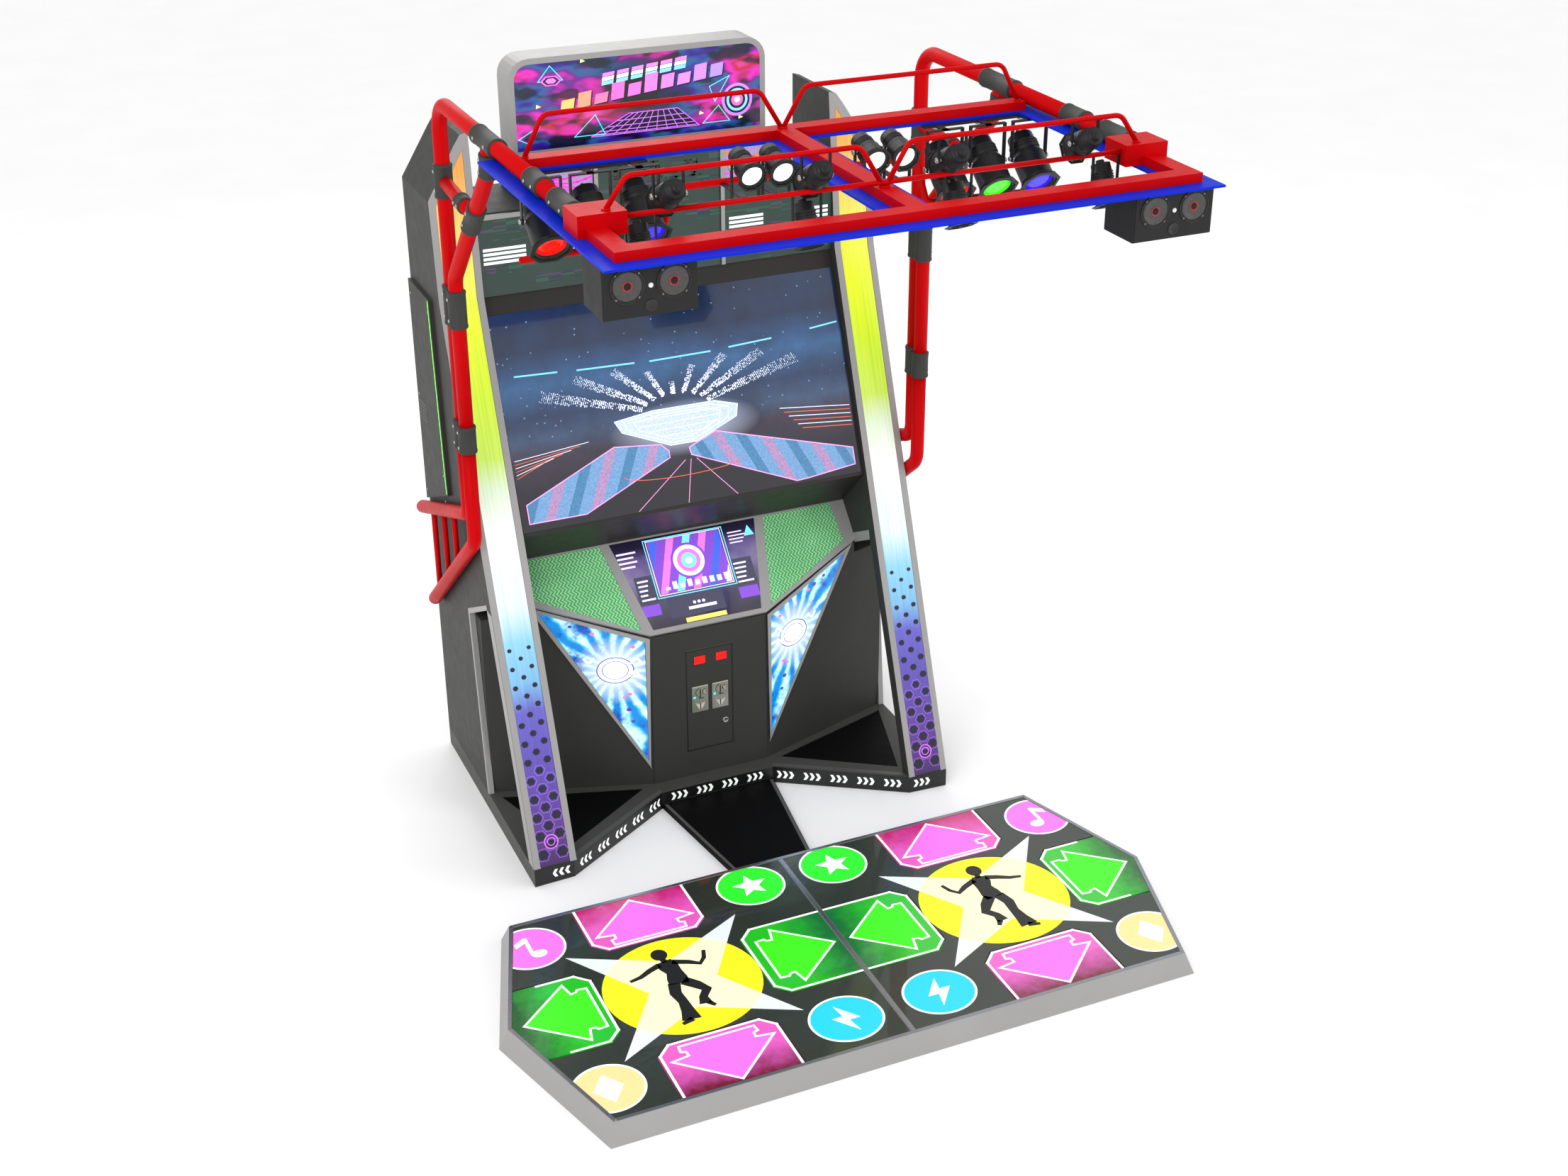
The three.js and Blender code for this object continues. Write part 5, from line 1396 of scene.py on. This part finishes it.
# ------------------------------------------------------------------ monitor picture
def make_monitor_art():
    plane = (FASCIA_PLANE[0] - FASCIA_PLANE[3] * MM, *FASCIA_PLANE[1:])
    violet = ink("card_violet", (120, 70, 190), 0.7)
    pink = ink("card_pink", (236, 110, 200), 0.8)
    blue = ink("card_blue", (60, 90, 220), 0.8)
    cyan = ink("card_cyan", (110, 220, 245), 0.9)
    pale = ink("card_pale", (226, 214, 240), 0.8)
    slate = ink("card_slate", (62, 62, 84), 0.5)
    yellow = ink("card_yellow", (240, 206, 96), 0.8)
    made = Builder()
    made.panel(-132, 128, 122, 312, plane, 0.05, 0.3, violet)
    card = rectangle(-132, 128, 122, 312)
    for k, colour in enumerate((blue, pink, cyan, pink, blue, pale)):
        u = -190 + k * 58
        stripe = [(u, 128), (u + 26, 128), (u + 96, 312), (u + 70, 312)]
        inside = clipped(stripe, card)
        if len(inside) > 2:
            made.plate(inside, plane, 0.35, 0.45, colour)
    for radius, colour in ((62, violet), (54, pale), (40, pink), (26, cyan), (12, pale)):
        lift = 0.5 + (62 - radius) / 200
        made.plate(circle(-6, 226, radius), plane, lift, lift + 0.03, colour)
    for k in range(9):
        height = 10 + 16 * abs(math.sin(k * 1.7))
        made.panel(-110 + k * 26, 138, -94 + k * 26, 138 + height, plane, 0.9, 1.0, pale)
    for margin, colour in ((4, pale), (12, cyan)):
        frame_line = rectangle(-132 - margin, 128 - margin, 122 + margin, 312 + margin / 2)
        made.strokes(frame_line, 2.6, plane, 0.5, 0.6, colour, closed=True)
    for u0, u1 in ((-208, -142), (132, 206)):
        made.panel(u0, 106, u1, 200, plane, 0.05, 0.3, slate)
        for k in range(5):
            end = u1 - 10 - (k * 23) % 27
            made.panel(u0 + 8, 116 + k * 16, end, 122 + k * 16, plane, 0.35, 0.45, pale)
        made.panel(u0 + 2, 62, u1 - 4, 100, plane, 0.05, 0.2, violet)
    made.panel(-118, 42, 76, 120, plane, 0.05, 0.2, slate)
    for k in range(3):
        made.plate(circle(-28 + k * 16, 82, 6, None, 5), plane, 0.25, 0.35, pale)
    made.panel(-52, 60, 46, 70, plane, 0.25, 0.35, pale)
    made.panel(-72, 19, 70, 34, plane, 0.05, 0.35, yellow)
    for k in range(4):
        made.plate(rectangle(-244, 236 + k * 16, -190 + (k * 11) % 20, 242 + k * 16), plane, 0.05, 0.3, pale)
        made.plate(rectangle(150, 254 + k * 12, 196 + (k * 7) % 16, 258 + k * 12), plane, 0.05, 0.3, pale)
    made.plate([(206, 272), (242, 272), (226, 308)], plane, 0.05, 0.3, cyan)
    made.finish("monitor_artwork", "machine")


# ------------------------------------------------------------------ marquee picture
def make_marquee_art():
    plane = MARQUEE_PLANE
    grid = ink("marquee_grid_line", (196, 110, 240), 0.9)
    cyan = ink("marquee_cyan_line", (70, 220, 220), 0.9)
    night = ink("marquee_night", (16, 12, 34), 0.2)
    cream = ink("marquee_cream", (250, 236, 150), 0.9)
    blocks = [ink(f"marquee_block_{k}", colour, 0.9) for k, colour in enumerate(
        [(255, 176, 96), (255, 140, 110), (250, 110, 150), (244, 96, 180), (236, 100, 204), (226, 110, 220),
         (214, 116, 232), (196, 120, 240), (176, 120, 244), (156, 124, 248)])]
    chrome = [ink("marquee_sky_blue", (120, 200, 250), 0.9), ink("marquee_white", (250, 250, 255), 0.9),
              ink("marquee_rose", (240, 120, 210), 0.9)]
    made = Builder()
    made.plate([(-166, 2144), (196, 2144), (124, 2206), (-40, 2206)], plane, 0.05, 0.2, night)
    for k in range(11):
        made.strokes([(-166 + k * 36.2, 2144), (-40 + k * 16.4, 2206)], 2.2, plane, 0.25, 0.35, grid)
    for k in range(6):
        share = 1 - (1 - k / 5) ** 1.7
        z = 2206 - share * 62
        made.strokes([(-40 - share * 126, z), (124 + share * 72, z)], 2.2, plane, 0.25, 0.35, grid)
    heights = [34, 46, 30, 52, 38, 56, 42, 34, 50, 40]
    for k, (height, colour) in enumerate(zip(heights, blocks)):
        u = -262 + k * 55
        z = 2232 + k * 6.5
        for shift, lift, tone in ((4, 0.4, night), (0, 0.6, colour)):
            made.plate([(u + shift, z - shift), (u + 42 + shift, z + 5 - shift),
                        (u + 48 + shift, z + 5 + height - shift), (u + 6 + shift, z + height - shift)],
                       plane, lift, lift + 0.1, tone)
    for k in range(6):
        u = -126 + k * 48
        z = 2300 + k * 5
        for row, tone in enumerate(chrome):
            made.plate([(u + row * 2, z + row * 13), (u + 38 + row * 2, z + 4 + row * 13),
                        (u + 40 + row * 2, z + 15 + row * 13), (u + 2 + row * 2, z + 11 + row * 13)],
                       plane, 0.4, 0.5, tone)
    for spots in ([(-400, 2160), (-330, 2196), (-360, 2140)], [(232, 2262), (300, 2290), (250, 2214)],
                  [(-220, 2150), (-120, 2150), (-150, 2212)], [(208, 2148), (262, 2200), (300, 2148)],
                  [(-330, 2330), (-290, 2376), (-250, 2330)]):
        made.strokes(spots, 2.4, plane, 0.3, 0.4, cyan, closed=True)
    for u, z in ((-192, 2376), (196, 2176), (-340, 2250), (330, 2150)):
        made.plate([(u, z), (u + 16, z + 4), (u + 2, z + 12)], plane, 0.3, 0.5, cream)
    for radius, tone in ((52, blocks[8]), (43, night), (36, chrome[0]), (28, night), (20, blocks[3]),
                         (9, chrome[1])):
        lift = 0.5 + (52 - radius) / 100
        made.plate(circle(326, 2212, radius), plane, lift, lift + 0.05, tone)
    for radius, tone in ((34, blocks[4]), (27, night), (18, blocks[5])):
        lift = 0.5 + (34 - radius) / 100
        made.plate(circle(-288, 2330, radius, radius * 0.5, 6), plane, lift, lift + 0.05, tone)
    made.finish("marquee_artwork", "machine")


# ------------------------------------------------------------------ upper panel print
def make_poster_art(paints):
    plane = POSTER_PLANE
    pale = ink("poster_white_lines", (232, 238, 238), 0.5)
    rose = ink("poster_magenta", (232, 40, 196), 0.6)
    lilac = ink("poster_lilac", (150, 132, 172), 0.4)
    orange = ink("poster_orange", (226, 110, 52), 0.5)
    made = Builder()
    for u0, u1 in ((-578, -442), (-372, -226), (232, 350), (462, 578)):
        for k in range(4):
            made.panel(u0, 1828 + k * 14, u1, 1837 + k * 14, plane, 0.05, 0.3, pale)
    for sign, tone in ((-1, rose), (1, orange)):
        low_u, high_u = sorted((sign * 420, sign * 218))
        field = rectangle(low_u, 1994, high_u, 2100)
        made.plate(field, plane, 0.05, 0.15, lilac)
        for k in range(4):
            curve = [(sign * (216 + 204 * t / 8), 2092 - k * 15 - 26 * math.sin(math.pi * t / 8 + k * 0.4))
                     for t in range(9)]
            for quad in line(curve, 8 - k):
                inside = clipped(counter_clockwise(quad), field)
                if len(inside) > 2:
                    made.plate(inside, plane, 0.2, 0.35, tone if k % 2 == 0 else rose)
    rng = random.Random(11)
    for k in range(150):
        u = -150 + rng.randrange(38) * 8
        z = 1996 + rng.randrange(12) * 8
        if rng.random() < 0.6:
            made.plate(rectangle(u, z, u + 6 + rng.randrange(3) * 4, z + 6), plane, 0.05, 0.2, paints["dark"])
    made.finish("poster_artwork", "machine")
    made = Builder()
    plate = front_plane(649)
    for sign in (-1, 1):
        middle = sign * 209
        made.panel(middle - 6.5, 1728, middle + 6.5, 2102, plate, 0.0, 1.0, paints["trim"])
        low_u, high_u = sorted((sign * 427, sign * 590))
        made.panel(low_u, 1970.5, high_u, 1985, plate, 0.0, 1.0, paints["trim"])
    made.panel(-428, 2103.2, 428, 2118, plate, 0.0, 1.0, paints["trim"])
    made.finish("poster_bars", "machine", 0.3)


# ------------------------------------------------------------------ slanting light panels
def make_facets(paints):
    """Grey edging round each slanting panel, and its printed rings, curls and dots."""
    length = math.hypot(1, 0.3375)
    ahead = Vector((1, 0.3375, 0)).normalized()
    plane = (point(235, 320, 0), ahead, UP, ahead.cross(UP))
    corners = [((x - 235) * length, z) for x, z in ((224, 611), (224, 165), (543, 733))]
    pale = ink("facet_white_curl", (250, 254, 255), 0.9)
    deep = ink("facet_indigo_curl", (60, 70, 170), 0.5)
    rose = ink("facet_rose_mark", (220, 110, 170), 0.6)
    for side, sign in SIDES.items():
        made = Builder()
        ring = grown(corners, 1.5)
        outer = grown(corners, 17)
        wide = grown(corners, 24)
        for i in range(3):
            j = (i + 1) % 3
            far = wide if i == 1 else outer
            made.plate([ring[i], far[i], far[j], ring[j]], plane, -0.1, 1.4 + i * 0.1, paints["trim"])
        made.finish(f"facet_edging_{side}", "machine", flip=sign)
        made = Builder()
        u, v = (318 - 235) * length, 513
        for radius, tone, lift in ((62, deep, 0.1), (58, pale, 0.25), (44, deep, 0.4), (41, pale, 0.55)):
            made.plate(circle(u, v, radius, radius * 0.78, 40), plane, lift, lift + 0.1, tone)
        for du, dv, lean in ((-84, 26, 1), (-78, -22, 1), (70, 46, -1)):
            curl = [(u + du + 30 * t / 8, v + dv + lean * 14 * math.sin(t / 8 * math.pi)) for t in range(9)]
            made.strokes(curl, 7, plane, 0.1, 0.25, pale)
        for du, dv, size in ((-44, -92, 8), (-26, -104, 6), (-40, -150, 9), (-52, -196, 7), (96, 150, 9),
                             (140, 168, 7), (70, 138, 8), (-60, 84, 8)):
            tone = deep if size % 2 else rose
            made.plate(circle(u + du, v + dv, size, size * 0.8, 10), plane, 0.1, 0.2, tone)
        made.finish(f"facet_artwork_{side}", "machine", flip=sign)


# ------------------------------------------------------------------ back, door and inside
def make_back(paints):
    plane = rear_plane(957.5)
    made = Builder()
    for row in range(2):
        for k in range(14):
            z = 820 - row * 480 + k * 9.5
            for u0, u1 in ((-250, -30), (30, 250)):
                made.panel(u0, z, u1, z + 4, plane, 0.0, 0.8, paints["dark"])
    made.panel(-360, 540, -316, 640, plane, 0.0, 2.0, paints["steel"])
    made.lathe([(12, -0.5), (12, 2), (10, 4), (0, 4)], point(338, 957.5, 615), BACK, paints["steel"], 28)
    made.panel(-352, 552, -324, 592, plane, 2.05, 2.4, paints["dark"])
    made.panel(-339, 606, -337, 624, plane, 4.1, 4.4, paints["dark"])
    made.finish("rear_door_fittings", "rear_door", 0.4)
    shell = Builder()
    back = rear_plane(BACK_Y)
    for z in (230, 575, 920):
        shell.lathe([(7, -38), (7, 38), (5, 39.5), (0, 40)], point(-411, 961, z), UP, paints["steel"], 18)
        shell.panel(413, z - 36, 440, z + 36, back, -0.2, 2.0, paints["steel"])
    for k in range(18):
        z = 1250 + k * 14
        for u0, u1 in ((-420, -160), (160, 420)):
            shell.panel(u0, z, u1, z + 6, back, -0.2, 1.0, paints["dark"])
    shell.panel(-550, 1160, 550, 1164, back, -0.2, 0.6, paints["dark"])
    shell.panel(-550, 1720, 550, 1724, back, -0.2, 0.6, paints["dark"])
    for u in (-560, -280, 0, 280, 560):
        for z in (1100, 1200, 1690, 1760, 1960):
            shell.lathe([(6, -0.2), (6, 1.4), (3, 2.4), (2.4, 1.4)], point(u, BACK_Y, z), BACK,
                        paints["steel"], 14)
    shell.panel(-560, 170, -470, 300, back, -0.2, 2.2, paints["inner"])
    shell.panel(-540, 190, -490, 226, back, 2.3, 3.2, paints["dark"])
    shell.panel(-534, 246, -496, 280, back, 2.3, 4.6, paints["dark"])
    shell.finish("back_panel_fittings", "machine", 0.3)
    box = Builder()
    rear = rear_plane(917)
    box.panel(-380, 2140, 380, 2352, rear, -0.2, 1.6, paints["edge"])
    for u in (-360, -120, 120, 360):
        for z in (2156, 2336):
            box.lathe([(5, 1.4), (5, 3), (2.6, 3.8), (2, 3)], point(u, 917, z), BACK, paints["steel"], 14)
    for k in range(10):
        box.panel(-120, 2200 + k * 10, 120, 2205 + k * 10, rear, 1.7, 2.3, paints["dark"])
    box.finish("marquee_back_plate", "machine", 0.4)


def make_inside(paints):
    """Vents, sockets and a fan on the parts in the service bay."""
    made = Builder()
    case_back = rear_plane(800)
    for k in range(8):
        made.panel(110, 110 + k * 9, 180, 114 + k * 9, case_back, -0.1, 0.6, paints["dark"])
    fan = [(38, -0.2), (38, 2), (34, 3), (31, 0.6), (0, 0.6)]
    made.lathe(fan, point(-250, 800, 240), BACK, paints["dark"], 32)
    for k in range(5):
        made.panel(200 + k * 16, 120, 212 + k * 16, 130, case_back, -0.1, 1.6, paints["steel"])
    made.finish("computer_fittings", "machine", 0.3)
    made = Builder()
    supply = rear_plane(790)
    for k in range(9):
        made.panel(-250 + k * 9, 100, -245 + k * 9, 160, supply, -0.1, 0.6, paints["dark"])
    made.panel(-140, 100, -100, 140, supply, -0.1, 2.5, paints["dark"])
    made.finish("supply_fittings", "machine", 0.3)


def make_floor():
    data = bpy.data.meshes.new("floor")
    size = 40
    corners = [(x, y, 0) for x, y in rectangle(-size, -size, size, size)]
    data.from_pydata(corners, [], [(0, 1, 2, 3)])
    floor = bpy.data.objects.new("floor", data)
    bpy.context.collection.objects.link(floor)
    made, tree, shader, place = start("studio_floor")
    tree.links.new(ramp(tree, noise(tree, place, 2, 3), [(0.3, (250, 250, 250)), (0.7, (253, 253, 253))]),
                   shader.inputs["Base Color"])
    shader.inputs["Roughness"].default_value = 0.9
    data.materials.append(made)


make_camera()
make_studio()
make_floor()
paints = make_palette()
art = {"strip": strip_art(), "screen": screen_art(), "monitor": monitor_art(), "poster": poster_art(),
       "marquee": marquee_picture(), "grille": grille_art(), "facet": facet_art()}
make_cabinet(paints, art)
make_pillars(paints)
make_plinth(paints)
make_screen_art()
make_monitor_art()
make_marquee_art()
make_poster_art(paints)
make_facets(paints)
make_back(paints)
make_inside(paints)
make_coin_door(paints)
make_deck(paints)
make_tiles(paints)
make_tube_frames(paints)
make_big_lamps(paints, [lens_glass("lens_red", (255, 16, 10), 1.0),
                        lens_glass("lens_green", (60, 240, 20), 1.0),
                        lens_glass("lens_blue", (40, 20, 255), 1.0)])
white_lens = lens_glass("lens_white", (255, 255, 255), 1.2)
make_hoops(paints, white_lens)
make_lamp_bar(paints, white_lens)
make_speakers(paints)
